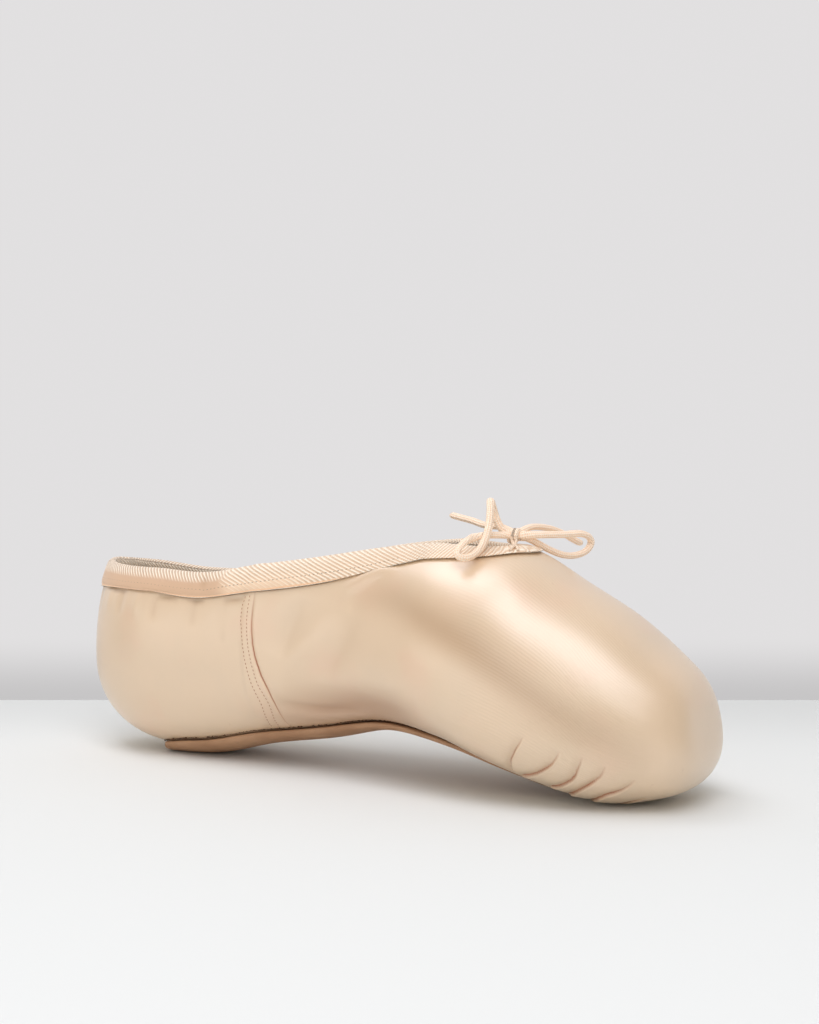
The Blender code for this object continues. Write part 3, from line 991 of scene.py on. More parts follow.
@dataclass(frozen=True)
class Crease:
    """A soft trough or ridge along a line given in millimetres on the near side."""

    name: str
    line: tuple[Point, ...]
    width: float
    height: float
    # The next two are painted shade: red-brown in the crevice, and a broad darkening round it
    stain: float = 0.0
    shade: float = 0.0
    side: Side = Side.BOTH
    stain_width: float = 0.42

    def route(self, skin: Skin, sign: int) -> tuple[Route, Rows]:
        """Lay the crease's line on the surface.

        Args:
            skin: The surface.
            sign: -1 for the near side, 1 for the far side.

        Returns:
            The line, and the surface's outward direction at each of its points.
        """
        places, outward = skin.lay(traced(self.line, sign))
        return Route(places), outward

    def fade(self, share: Rows) -> Rows:
        """How strong the crease is along its length, from 0 at the ends to 1."""
        return np.sin(math.pi * np.clip(share, 0.0, 1.0)) ** 0.6

    def relief(self, points: Rows, route: Route, outward: Rows) -> Rows:
        """How far the crease moves each point, and how much painted shade it gives it, in its crevice
        and round it.

        Args:
            points: One point a row, in metres.
            route: The crease's line on the surface.
            outward: The surface's outward direction at each point of the line.

        Returns:
            Three rows with a number for each point.
        """
        effect = np.zeros((3, len(points)))
        near = route.close_to(points, 3.5 * self.width * MM)
        if near.any():
            gap, along = route.nearest(points[near])
            fade, away = self.fade(along / route.total), gap / (self.width * MM)
            effect[0, near] = self.height * MM * bell(away, 1.0) * fade
            effect[1, near] = self.stain * bell(away, self.stain_width) * fade
            effect[2, near] = self.shade * bell(away, 1.0) * fade
        return effect


@dataclass(frozen=True)
class Pleat(Crease):
    """A fold of cloth with a crisp lip, which lies over the trough beside it.

    Its line runs from the free end to the sole. The lip is on the line's toe side. Its
    distances are in widths.
    """

    lip: float = 0.45
    crispness: float = 7.0
    lip_run: float = 2.6
    trough_run: float = 1.9
    reach: float = 4.5
    # Painted shade: a red-brown line in the crevice, and a broad darkening on the trough's side
    stain_at: float = -0.25
    stain_width: float = 0.36
    shade_at: float = -1.6
    shade_width: float = 1.6
    shade_share: float = 0.45

    def fade(self, share: Rows) -> Rows:
        """How strong the pleat is along its length: it opens slowly, and ends at the sole."""
        return ramp(share, 0.0, 0.35) ** 0.75 * ramp(share, 1.02, 0.97)

    def relief(self, points: Rows, route: Route, outward: Rows) -> Rows:
        """As a crease's, with the lip on one side and the trough on the other.

        Args:
            points: One point a row, in metres.
            route: The pleat's line on the surface.
            outward: The surface's outward direction at each point of the line.

        Returns:
            Three rows with a number for each point.
        """
        effect = np.zeros((3, len(points)))
        near = route.close_to(points, 5.0 * self.width * MM)
        if not near.any():
            return effect
        gap, along = route.nearest(points[near])
        side = np.cross(route.heading(along), route.read(outward, along))
        toeward = np.sign(side[:, :1]) * side
        away = ((points[near] - route.at(along)) * toeward).sum(axis=1) / (self.width * MM)
        ahead, behind = np.clip(away, 0.0, None), np.clip(-away, 0.0, None)
        lip = self.lip / (1.0 + np.exp(-away * self.crispness)) * bell(ahead, self.lip_run, 1.0)
        trough = self.height / (1.0 + np.exp((away - 0.1) * self.crispness))
        trough = trough * bell(behind, self.trough_run, 1.3)
        shown = self.fade(along / route.total) * bell(gap / (self.width * MM), self.reach, 4.0)
        effect[0, near] = (lip + trough) * shown * MM
        shown = shown * self.stain
        effect[1, near] = shown * bell(away - self.stain_at, self.stain_width)
        effect[2, near] = shown * bell(away - self.shade_at, self.shade_width) * self.shade_share
        return effect


# After its width and height, each pleat's last number is its painted shade
PLEATS = (
    Pleat("pleat_1", ((72.9, -37.6, 24.6), (72.3, -37.8, 23.4), (70.3, -37.8, 20.3),
        (68.7, -37.1, 17.5), (67.2, -35.5, 15.2), (66.2, -32.5, 12.6), (65.6, -29.0, 11.2)),
        0.75, -0.80, 0.80),
    Pleat("pleat_2", ((84.4, -35.2, 20.6), (83.8, -35.3, 19.3), (82.4, -35.2, 17.0),
        (80.4, -35.0, 14.8), (75.5, -33.1, 11.5), (71.0, -30.0, 9.8), (67.5, -27.0, 9.0)),
        0.80, -0.90, 0.95),
    Pleat("pleat_3", ((91.2, -33.2, 19.2), (90.9, -33.2, 18.1), (89.9, -33.0, 15.5),
        (88.4, -32.5, 12.4), (85.4, -31.0, 9.3), (80.8, -28.0, 6.9), (76.0, -24.0, 5.6)),
        0.80, -0.95, 1.0),
    Pleat("pleat_4", ((97.5, -30.9, 16.6), (97.2, -30.9, 15.5), (96.1, -30.5, 13.1),
        (94.5, -30.4, 11.1), (92.3, -29.7, 9.1), (89.6, -28.8, 7.1), (85.9, -26.3, 5.2),
        (80.5, -20.0, 3.4)), 0.80, -0.95, 1.0),
    Pleat("pleat_5", ((105.4, -26.4, 11.6), (104.6, -26.1, 10.7), (102.7, -25.4, 8.8),
        (99.9, -24.8, 6.8), (96.9, -24.6, 5.5), (94.3, -23.9, 4.4), (90.0, -20.0, 2.6),
        (84.5, -13.0, 1.4)), 0.80, -0.90, 1.0),
    Pleat("pleat_6", ((105.5, -16.6, 3.4), (102.5, -15.6, 2.2), (98.0, -13.8, 1.2), (92.0, -9.6, 0.6),
        (86.5, -6.6, 0.5)), 0.75, -0.60, 0.8),
    Pleat("pleat_7", ((106.0, -5.6, 2.6), (102.5, -5.2, 1.2), (97.0, -4.2, 0.6), (91.0, -3.2, 0.2),
        (86.0, -2.0, 0.4)), 0.75, -0.50, 0.7),
)

# After its width and height, a crease's numbers are its painted shade: in its crevice, then round it
FOLDS = (
    Crease("arch_fold", ((-28.0, -24.5, 26.4), (-21.8, -23.8, 24.7), (-14.4, -22.9, 23.6),
        (-4.7, -22.5, 23.0), (6.0, -24.0, 23.0)), 2.0, -0.65, 0.0, 0.45),
    Crease("arch_swell", ((-26.0, -23.0, 21.0), (-16.0, -22.0, 19.6), (-4.0, -21.0, 19.4),
        (8.0, -22.5, 19.6)), 2.6, 0.35),
    Crease("arch_hollow", ((-24.0, -24.6, 30.0), (-17.5, -24.2, 29.0), (-1.9, -23.9, 27.5),
        (16.3, -28.6, 27.5), (34.0, -35.0, 28.5)), 5.5, -0.70, 0.0, 0.42),
    Crease("drag_low", ((-18.8, -21.7, 60.4), (-21.6, -23.7, 51.9), (-26.9, -25.0, 41.4)),
        4.0, -0.70, 0.0, 0.16),
    Crease("drag_high", ((-5.9, -23.4, 57.2), (-12.3, -24.7, 47.5), (-22.8, -25.3, 35.9),
        (-28.2, -25.2, 29.2)), 4.0, 0.75),
    Crease("drag_front", ((6.0, -23.6, 54.0), (1.0, -24.8, 45.0), (-8.0, -25.0, 35.0)),
        4.0, -0.60, 0.0, 0.14),
    Crease("heel_pucker", ((-49.1, -21.8, 58.0), (-49.9, -23.1, 53.6), (-49.6, -24.3, 48.5),
        (-48.3, -25.0, 43.4)), 0.9, -0.28, 0.05, 0.20),
    Crease("vamp_ridge", ((-1.5, -22.4, 62.6), (0.2, -22.0, 64.5), (3.9, -21.6, 66.6),
        (7.4, -21.0, 68.8), (11.6, -20.3, 70.9), (16.8, -19.5, 72.7)), 2.0, 1.2),
    # box_flank paints a dark band of shade along the flank of the box
    Crease("box_flank", ((2.0, -23.8, 59.0), (12.0, -24.6, 63.0), (22.0, -27.5, 61.8),
        (34.0, -31.6, 57.8), (52.3, -35.6, 50.9), (70.2, -36.5, 39.7), (86.4, -34.7, 29.9),
        (97.0, -31.6, 25.0), (104.0, -27.0, 20.0), (108.0, -22.0, 16.5)), 6.2, -0.80, 0.0, 0.90),
    Crease("toe_swell", ((110.0, -24.0, 16.0), (116.5, -14.0, 16.0), (118.0, 0.0, 16.0),
        (116.5, 14.0, 16.0), (110.0, 24.0, 16.0)), 11.0, 2.2, side=Side.NEAR),
    # The hem creases paint the shadow under the tape's lower edge, where the cloth dips in
    Crease("hem_1", ((-104.5, -14.5, 59.2), (-99.0, -18.0, 58.5), (-92.5, -20.2, 58.4)),
        1.1, -0.35, 0.0, 0.80),
    Crease("hem_2", ((-79.0, -21.6, 57.6), (-74.0, -21.8, 57.1), (-69.5, -21.9, 57.1)),
        1.1, -0.35, 0.0, 0.80),
    Crease("hem_3", ((-65.0, -21.6, 56.9), (-61.5, -21.6, 56.7), (-58.5, -21.5, 57.0)),
        1.1, -0.35, 0.0, 0.85),
    Crease("hem_4", ((-51.0, -21.5, 57.5), (-46.5, -21.5, 57.8), (-41.5, -21.5, 58.4)),
        1.1, -0.35, 0.0, 0.75),
)


def gather(x: float, side: float, drop: float, width: float, height: float) -> Crease:
    """A short upright fold of the cloth under the tape, in millimetres; a trough gets a little painted
    shade.

    Args:
        x: Its place along the shoe.
        side: How far out its upper end is.
        drop: How far it lies below the highest one.
        width: Its width.
        height: Its height, less than 0 for a trough.

    Returns:
        The fold.
    """
    line = ((x, -side, 58.5 - drop), (x - 0.3, -side - 0.9, 54.0 - drop),
            (x + 0.4, -side - 1.4, 49.0 - drop))
    stain, shadow = (0.06, 0.16) if height < 0 else (0.0, 0.0)
    return Crease("gather", line, width, height, stain, shadow)


GATHERS = tuple(gather(*sizes) for sizes in (
    (-108.0, 11.5, -1.0, 1.5, -0.42), (-101.0, 16.5, -0.6, 1.8, 0.42), (-94.0, 19.0, -0.3, 1.6, -0.49),
    (-86.5, 20.5, 0.0, 1.8, 0.42), (-79.0, 21.3, 0.4, 1.6, -0.49), (-71.0, 21.6, 0.8, 1.8, 0.392),
    (-62.5, 21.6, 1.0, 1.6, -0.42), (-55.0, 21.6, 1.0, 1.8, 0.35)))


def sole_rim(below: float) -> list[Route]:
    """The top edge of the sole on each side, from the heel to its tip.

    Args:
        below: How far under the top edge the line lies.

    Returns:
        The near line and the far line.
    """
    points = points_of(frame["nodes"]["outsole"])
    stations = np.unique(np.round(points[:, 0], 5))
    same_station, same_side = 0.02 * MM, 0.05 * MM
    lines = []
    for sign in (-1, 1):
        line = []
        for station in stations:
            row = points[np.abs(points[:, 0] - station) < same_station]
            edge = row[np.abs(row[:, 1] - sign * np.abs(row[:, 1]).max()) < same_side]
            if len(edge):
                line.append((station, edge[0, 1], edge[:, 2].max() - below))
        lines.append(Route(smooth_route(line, 1.0 * MM)))
    return lines


@dataclass
class Stitches:
    """A row of short stitches: one is modelled, and the others are its copies.

    Their middles lie SUNK above the cloth, which is a little way in.
    """

    name: str
    pitch: float
    size: Span
    finish: Thread = Thread()

    def build(self, route: Route, outward: Rows, slot: str) -> Piece:
        """Lay the row.

        Args:
            route: Its line on the cloth.
            outward: The cloth's outward direction at each point of the line.
            slot: The record's material slot.

        Returns:
            The row as one piece.
        """
        length, thickness = self.size
        bpy.ops.mesh.primitive_uv_sphere_add(segments=8, ring_count=6, radius=0.5)
        first = added(self.name)
        only(first)
        bpy.ops.transform.resize(value=(length, thickness, thickness))
        settle(first)
        made = []
        count = int(route.total / self.pitch)
        for index in range(count):
            along = np.array([(index + 0.5) * route.total / count])
            heading = Vector(route.heading(along)[0])
            out = Vector(route.read(outward, along)[0]).normalized()
            across = out.cross(heading).normalized()
            only(first)
            bpy.ops.object.duplicate()
            copy = bpy.context.object
            turn = Matrix((heading, across, heading.cross(across))).transposed().to_4x4()
            copy.matrix_world = Matrix.Translation(Vector(route.at(along)[0])) @ turn
            made.append(copy)
        bpy.data.objects.remove(first, do_unlink=True)
        only(*made)
        bpy.ops.object.join()
        row = settle(added(self.name))
        shade(row, self.finish.make())
        return place_piece(row, slot)


@dataclass
class Upper:
    """The satin upper with its lining, as one hollow wall."""

    seam: tuple[Point, ...] = (
        (-37.4, -21.9, 61.5), (-37.4, -21.7, 60.4), (-37.3, -23.2, 55.4), (-37.1, -24.3, 50.3),
        (-36.2, -25.1, 44.9), (-34.6, -25.2, 39.5), (-32.5, -25.4, 34.1), (-29.8, -25.2, 29.1),
        (-27.4, -23.3, 22.8), (-26.3, -18.1, 16.4), (-26.0, -15.0, 13.8))
    rows: tuple[tuple[Point, ...], ...] = (
        ((-39.4, -21.8, 60.0), (-39.1, -24.3, 50.2), (-37.2, -25.5, 40.8), (-34.0, -25.7, 32.3),
         (-29.9, -23.9, 23.7), (-30.1, -17.4, 15.3)),
        ((-42.1, -21.5, 59.4), (-41.9, -24.0, 50.0), (-39.7, -25.6, 40.6), (-36.7, -25.8, 32.1),
         (-32.8, -24.5, 23.5), (-33.2, -17.0, 14.6)))
    seam_width: float = 0.70
    seam_depth: float = 0.50
    stitch_pitch: float = 1.35 * MM
    stitch_size: Span = (0.90 * MM, 0.34 * MM)
    levels: int = 2
    refined: Span = (1.7 * MM, 0.9 * MM)
    rim_refined: float = 3.4 * MM
    # Creases with more painted crevice shade than this get a finer mesh
    crisp_stain: float = 0.3
    creased: tuple[Crease, ...] = PLEATS + FOLDS + GATHERS
    floor_band: Span = (0.3 * MM, 2.3 * MM)
    under_facing: Span = (0.05, 0.60)
    under_rise: Span = (6.0 * MM, 20.0 * MM)
    arch_half: float = 0.034
    arch_stain: float = 0.30
    arch_shade: float = 0.35

    def build(self) -> Piece:
        """Copy the solid, refine it, press the creases in and dress it.

        Returns:
            The finished upper.
        """
        piece = copied("upper", "satin_upper")
        harden(piece, "SUBSURF", levels=self.levels, render_levels=self.levels)
        skin = Skin(piece)
        lines = [(crease, *crease.route(skin, sign)) for crease in (*self.creased, self.seam_crease())
                 for sign in crease.side.value]
        crisp = [route for crease, route, _ in lines if crease.stain > self.crisp_stain]
        self.refine(piece, self.rim_refined, [*crisp, *sole_rim(0.0)])
        for reach in self.refined:
            self.refine(piece, reach, crisp)
        self.press(piece, lines)
        self.dress(piece)
        skin = Skin(piece)
        for sign, where in ((-1, "near"), (1, "far")):
            for number, row in enumerate(self.rows, 1):
                line, outward = skin.lay(traced(row, sign), SUNK)
                name = f"seam_stitches_{where}_{number}"
                stitches = Stitches(name, self.stitch_pitch, self.stitch_size)
                stitches.build(Route(line), outward, "peach_satin")
        return place_piece(piece, "peach_satin", "upper")

    def seam_crease(self) -> Crease:
        """The groove at the front edge of the side seam, with painted shade in it."""
        return Crease("side_seam", self.seam, self.seam_width, -self.seam_depth, 1.0)

    def refine(self, piece: Piece, reach: float, routes: Iterable[Route]) -> None:
        """Subdivide the outer faces that lie near some lines.

        Args:
            piece: The upper.
            reach: How near counts.
            routes: The lines.
        """
        points = points_of(piece)
        close = np.zeros(len(points), dtype=bool)
        for route in routes:
            near = route.close_to(points, reach)
            close[near] |= route.nearest(points[near])[0] < reach
        close &= self.outside(piece)
        only(piece)
        faces = piece.data.polygons
        picked = np.array([all(close[corner] for corner in face.vertices) for face in faces])
        bpy.ops.object.mode_set(mode="EDIT")
        bpy.ops.mesh.select_mode(type="FACE")
        bpy.ops.mesh.select_all(action="DESELECT")
        bpy.ops.object.mode_set(mode="OBJECT")
        piece.data.polygons.foreach_set("select", picked)
        bpy.ops.object.mode_set(mode="EDIT")
        bpy.ops.mesh.subdivide(number_cuts=1, smoothness=0.0)
        bpy.ops.object.mode_set(mode="OBJECT")

    def outside(self, piece: Piece) -> Rows:
        """Whether each point is on the outer side of the wall."""
        return (normals_of(piece) * LAST.out_of(points_of(piece))).sum(axis=1) > 0.0

    def press(self, piece: Piece, lines: Sequence[tuple[Crease, Route, Rows]]) -> None:
        """Press the troughs in and raise the ridges, keep what rests on the floor flat, and paint the
        creases' shade and the shade under the arch.

        Args:
            piece: The upper.
            lines: The creases, with their lines on its surface and the outward directions there.
        """
        points, normals, outer = points_of(piece), normals_of(piece), self.outside(piece)
        moved, crevice_shaded, shaded = np.zeros((3, len(points)))
        for crease, route, outward in lines:
            step, colour, shadow = crease.relief(points, route, outward) * outer
            moved, crevice_shaded, shaded = moved + step, np.maximum(crevice_shaded, colour), shaded + shadow
        lifted = np.where(moved > 0.0, ramp(points[:, 2], *self.floor_band), 1.0)
        points = points + normals * (moved * lifted)[:, None]
        # Painted shade under the arch: cloth that faces down there is darkened and warmed
        under = ramp(-normals[:, 2], *self.under_facing) * ramp(points[:, 2], *self.under_rise)
        under = under * bell(points[:, 0], self.arch_half, 4.0)
        move_points(piece, points)
        paint(piece, "fold", np.maximum(crevice_shaded, self.arch_stain * under * outer))
        paint(piece, "shade", shaded + self.arch_shade * under)

    def dress(self, piece: Piece) -> None:
        """Map the cloth, and give the outside its satin and the inside its lining.

        Args:
            piece: The upper.
        """
        map_cloth(piece, *LAST.cloth(points_of(piece)))
        shade(piece, Satin().make(), Lining().make())
        outer = self.outside(piece)
        inner = np.zeros(len(piece.data.polygons), dtype=np.int32)
        for face in piece.data.polygons:
            inward = sum(not outer[corner] for corner in face.vertices)
            inner[face.index] = int(inward > len(face.vertices) / 2)
        piece.data.polygons.foreach_set("material_index", inner)


@dataclass
class Casing:
    """The tape folded over the rim."""

    outline: tuple[Span, ...] = (
        (-116.2, 0.0), (-114.6, 8.0), (-108.0, 14.0), (-96.0, 17.0), (-80.0, 17.2), (-40.0, 17.6),
        (-10.0, 16.6), (15.0, 13.8), (32.0, 10.6), (43.0, 7.2), (49.5, 3.6), (51.0, 0.0))
    levels: int = 2
    cells: int = 80
    width: float = 9.4 * MM
    outer_leg: float = -0.2
    hem_roll: float = 0.8 * MM
    hem_share: float = 0.84
    stitched: float = 7.8 * MM
    stitch_pitch: float = 1.62 * MM
    stitch_size: Span = (0.80 * MM, 0.30 * MM)
    row_reach: float = 1.1 * MM
    row_weight: float = 0.5 * MM
    row_sinks: Span = (-0.055, -0.067)
    row_depth: float = 0.08 * MM
    creased: tuple[Crease, ...] = (
        Crease("tape_notch", ((-61.6, -17.0, 66.6), (-61.0, -18.4, 66.0), (-60.6, -19.4, 64.9),
            (-59.2, -21.4, 61.6), (-58.6, -21.8, 58.0)), 2.0, -0.60, 0.45),
        Crease("tape_swell", ((-64.6, -17.2, 66.6), (-63.8, -19.4, 64.9), (-62.8, -21.4, 61.6)),
            2.2, 0.25),
    )

    def build(self) -> Piece:
        """Copy the solid, refine and map it, dress it and sew its lower edge.

        Returns:
            The finished tape.
        """
        piece = copied("casing", "twill_casing")
        harden(piece, "SUBSURF", levels=self.levels, render_levels=self.levels)
        near = [(x * MM, -y * MM, 0.0) for x, y in self.outline]
        far = [(x * MM, y * MM, 0.0) for x, y in self.outline[-2:0:-1]]
        line = Route(smooth_route([*near, *far, near[0]], 2.0 * MM))
        skin = Skin(piece)
        points, normals = points_of(piece), normals_of(piece)
        outer = (normals * LAST.out_of(points)).sum(axis=1) > self.outer_leg
        crevice_shaded = np.zeros(len(points))
        for crease in self.creased:
            step, stain, _ = crease.relief(points, *crease.route(skin, -1))
            points, crevice_shaded = points + normals * (step * outer)[:, None], np.maximum(crevice_shaded, stain)
        _, along = line.nearest(points * (1.0, 1.0, 0.0))
        edges = np.linspace(0.0, line.total, self.cells + 1)
        cell = np.clip(np.digitize(along, edges) - 1, 0, self.cells - 1)
        middles = (edges[:-1] + edges[1:]) / 2
        tops = np.array([points[cell == index, 2].max() for index in range(self.cells)])
        lows = np.array([points[(cell == index) & outer, 2].min() for index in range(self.cells)])
        top, low = np.interp(along, middles, tops), np.interp(along, middles, lows)
        down = np.clip((top - points[:, 2]) / (top - low), 0.0, 1.0) * self.width
        rolled = ramp(down / self.width, self.hem_share, 1.0) * outer
        points = points - LAST.out_of(points) * (rolled * self.hem_roll)[:, None]
        move_points(piece, points)
        map_cloth(piece, along, np.where(outer, down, -down), (line.total, 0.0))
        # Painted shade in the notch crease's trough
        paint(piece, "fold", crevice_shaded)
        shade(piece, Twill(width=self.width).make())
        place_piece(piece, "twill_tape", "casing")
        self.sew(piece, points, along, down, outer, edges)
        return piece

    def sew(self, piece: Piece, points: Rows, along: Rows, down: Rows,
            outer: Rows, edges: Rows) -> None:
        """Lay a row of stitches a little above the tape's lower edge.

        Args:
            piece: The tape.
            points: Its points.
            along: How far round the opening each point is.
            down: How far below the fold each point is.
            outer: Whether each point is on the outer leg.
            edges: Where the cells round the opening begin and end.
        """
        row = outer & (np.abs(down - self.stitched) < self.row_reach)
        places = []
        for low, high in zip(edges[:-1:2], edges[2::2]):
            inside = row & (along >= low) & (along < high)
            if inside.any():
                weight = bell(down[inside] - self.stitched, self.row_weight) + 1e-6
                places.append((points[inside] * weight[:, None]).sum(axis=0) / weight.sum())
        line, outward = Skin(piece).lay(smooth_route([*places, places[0]], 1.0 * MM), SUNK)
        line -= outward * ramp(line[:, :1], *self.row_sinks) * self.row_depth
        grey = Thread("casing_thread", (0.480, 0.370, 0.280), (0.260, 0.190, 0.140))
        stitches = Stitches("casing_stitches", self.stitch_pitch, self.stitch_size, grey)
        stitches.build(Route(line), outward, "twill_tape")


@dataclass
class Bow:
    """The drawstring's bow: a knot, two loops and two loose ends."""

    knot: Point = (50.9, 0.0, 83.3)
    diameter: float = 2.5 * MM
    loop_near: tuple[Point, ...] = (
        (-0.8, -0.8, 0.4), (-3.0, -3.6, 0.4), (-7.0, -11.8, 0.5), (-9.0, -17.9, -1.0),
        (-10.0, -21.5, -3.6), (-9.4, -22.3, -5.4), (-7.4, -20.6, -6.0), (-5.6, -16.8, -4.6),
        (-4.8, -13.2, -1.5),
        (-4.7, -10.1, 2.5), (-5.4, -7.4, 7.2), (-6.6, -4.8, 10.6), (-7.4, -2.9, 11.2),
        (-7.4, -1.0, 8.4), (-6.4, -0.2, 4.8), (-4.4, 0.2, 1.8), (-1.0, 0.2, 0.4))
    loop_far: tuple[Point, ...] = (
        (0.8, 0.3, 0.2), (3.0, 1.4, 0.3), (7.9, 7.6, 0.2), (11.5, 13.4, 0.0), (14.8, 20.1, 0.0),
        (16.2, 24.0, -1.4), (16.4, 25.3, -3.6), (15.3, 23.2, -6.2), (13.2, 18.9, -7.3),
        (10.8, 14.3, -6.8), (7.8, 10.2, -4.9), (5.0, 6.7, -2.6), (2.4, 3.6, -0.8), (0.8, 1.0, -0.3))
    end_near: tuple[Point, ...] = (
        (-0.6, 0.8, 0.6), (-3.0, 2.4, 1.5), (-7.4, 3.8, 2.5), (-13.4, 5.4, 2.7), (-19.8, 8.6, 3.8),
        (-25.6, 11.4, 4.5), (-30.2, 13.6, 5.1))
    end_far: tuple[Point, ...] = (
        (0.5, 0.8, 0.9), (1.2, 3.6, 1.6), (2.0, 8.0, 2.4), (3.6, 13.0, 2.2), (5.4, 18.2, 1.2),
        (7.4, 23.2, -0.6), (8.8, 27.6, -2.6), (10.0, 31.6, -4.2))
    legs: tuple[tuple[Point, ...], ...] = (
        ((-0.8, -1.2, -0.6), (0.5, -2.6, -1.8), (2.3, -5.0, -2.6), (4.4, -7.2, -3.3),
         (5.2, -8.2, -4.0)),
        ((1.1, -1.2, -0.6), (1.8, -2.8, -1.8), (2.7, -5.4, -2.4), (2.9, -8.2, -3.2), (2.8, -9.6, -3.9)))
    flat: float = 0.88
    wrap_steps: int = 30
    wrap_turns: float = 2.0
    wrap_from: float = -150.0
    wrap_width: float = 2.3
    wrap_lean: float = 0.35
    wrap_reach: Span = (1.75, 1.80)
    wrap_radius: float = 0.85 * MM
    leg_radius: float = 0.50 * MM

    def build(self) -> None:
        """Lay the cords and tie the knot."""
        braid = Braid().make()
        cords = (("loop_near", self.loop_near, "knot"), ("loop_far", self.loop_far, "knot"),
                 ("end_near", self.end_near, "bare"), ("end_far", self.end_far, "bare"))
        for name, points, stop in cords:
            route = self.placed(points, 0.8 * MM)
            middle = tuple(route.mean(axis=0)) if stop == "knot" else None
            piece = cord_tube(f"drawstring_{name}", route, self.diameter / 2, 20, self.flat, middle)
            shade(piece, braid)
            place_piece(piece, "elastic_cord", f"bow_{name}")
        self.tie(braid)

    def placed(self, points: Sequence[Point], step: float) -> Rows:
        """A smooth route through points given in millimetres from the knot."""
        centre = np.array(self.knot)
        return smooth_route([tuple((centre + np.array(point)) * MM) for point in points], step)

    def tie(self, braid: Material) -> Piece:
        """Wrap the knot: two turns of cord round the crossing, and the two legs that leave the tape.

        Args:
            braid: The cord's finish.

        Returns:
            The knot.
        """
        turns = []
        for step in range(self.wrap_steps + 1):
            share = step / self.wrap_steps
            angle = math.radians(self.wrap_from + share * self.wrap_turns * 360.0)
            across = (share - 0.5) * self.wrap_width + self.wrap_lean * math.sin(angle)
            wide, high = self.wrap_reach
            turns.append((across, wide * math.cos(angle), high * math.sin(angle)))
        step, sides = 0.4 * MM, 12
        parts = [cord_tube("drawstring_knot", self.placed(turns, step), self.wrap_radius, sides)]
        parts += [cord_tube("leg", self.placed(leg, step), self.leg_radius, sides) for leg in self.legs]
        only(*parts)
        bpy.ops.object.join()
        piece = added("drawstring_knot")
        shade(piece, braid)
        return place_piece(piece, "elastic_cord", "bow_knot")


@dataclass
class Sole:
    """The leather sole with its rolled edge, and the ragged dark joint above it."""

    levels: int = 3
    joint_radius: float = 0.14 * MM
    joint_inset: float = 0.42 * MM
    joint_step: float = 0.45 * MM
    raggedness: float = 0.55
    slow_steps: int = 14
    slow_range: Span = (0.35, 1.25)
    tooth: float = 0.70 * MM
    edge_stain: float = 0.50
    edge_width: float = 0.6 * MM
    end_round: float = 4.0 * MM
    end_depth: float = 4.0 * MM
    end_tuck: float = 1.6 * MM
    end_facing: Span = (0.50, 0.87)
    end_thinned: float = 0.92

    def build(self) -> Piece:
        """Copy the solid, round its edges and dress it, then fill its joint.

        Returns:
            The finished sole.
        """
        piece = copied("outsole", "leather_sole")
        harden(piece, "SUBSURF", levels=self.levels, render_levels=self.levels)
        near, far = sole_rim(0.0)
        points = self.rounded(points_of(piece), near, far)
        move_points(piece, points)
        edges = (Route(self.rounded(rim.points, near, far)) for rim in (near, far))
        gap = np.minimum(*(edge.nearest(points)[0] for edge in edges))
        # Painted shade along the sole's top edge, where it meets the satin
        paint(piece, "fold", self.edge_stain * bell(gap, self.edge_width))
        shade(piece, SoleLeather().make())
        place_piece(piece, "tan_leather", "outsole")
        self.joint()
        return piece

    def rounded(self, points: Rows, near: Route, far: Route) -> Rows:
        """Draw the sole's back end in a little, and round it off towards its edge.

        Args:
            points: One point a row.
            near: The sole's top edge on the near side.
            far: The same on the far side.

        Returns:
            The moved points.
        """
        plan = (1.0, 1.0, 0.0)
        gap = np.minimum(*(Route(rim.points * plan).nearest(points * plan)[0] for rim in (near, far)))
        behind = np.clip(LAST.heel_centre - points[:, 0], 0.0, None)
        facing = behind / (np.hypot(behind, points[:, 1]) + 1e-9)
        into = ramp(gap, self.end_round, 0.0) * ramp(facing, *self.end_facing)
        thinner = np.sqrt(1.0 - self.end_thinned * into**2)
        middle = near.points[0, 2] - self.end_depth / 2
        moved = points.copy()
        moved[:, 2] = np.maximum(middle + (points[:, 2] - middle) * thinner, 0.0)
        moved[:, 0] += self.end_tuck * (behind / behind.max()) ** 2
        return moved

    def joint(self) -> Piece:
        """Lay the ragged dark line of glue and fibre along the sole's top edge; it also stands in for
        the shadow in the gap there.

        Returns:
            The line.
        """
        near, far = sole_rim(self.joint_radius * 0.4)
        ring = np.concatenate([near.points, far.points[::-1], near.points[:1]])
        line = Route(self.rounded(ring, near, far))
        line = Route(line.at(np.arange(0.0, line.total, self.joint_step)))
        piece = cord_tube("sole_joint", line.points, self.joint_radius, 8)
        points = points_of(piece)
        chance = np.random.default_rng(7)
        count = len(line.points)
        swell = chance.uniform(1.0 - self.raggedness, 1.0 + self.raggedness, count)
        slow = chance.uniform(*self.slow_range, count // self.slow_steps + 2)
        swell *= np.interp(np.arange(count) / self.slow_steps, np.arange(len(slow)), slow)
        tooth = chance.uniform(0.0, 1.0, count) ** 8 * self.tooth
        _, along = line.nearest(points)
        centre = line.at(along)
        plan = unit(LAST.out_of(centre) * (1.0, 1.0, 0.0))
        scale = np.interp(along, line.lengths, swell)[:, None]
        up = ramp((points - centre)[:, 2:], 0.0, self.joint_radius) * (0.0, 0.0, 1.0)
        spike = np.interp(along, line.lengths, tooth)[:, None]
        move_points(piece, centre + (points - centre) * scale + up * spike - plan * self.joint_inset)
        shade(piece, Thread("joint_fibre", (0.100, 0.052, 0.028), (0.040, 0.020, 0.011)).make())
        return place_piece(piece, "tan_leather")


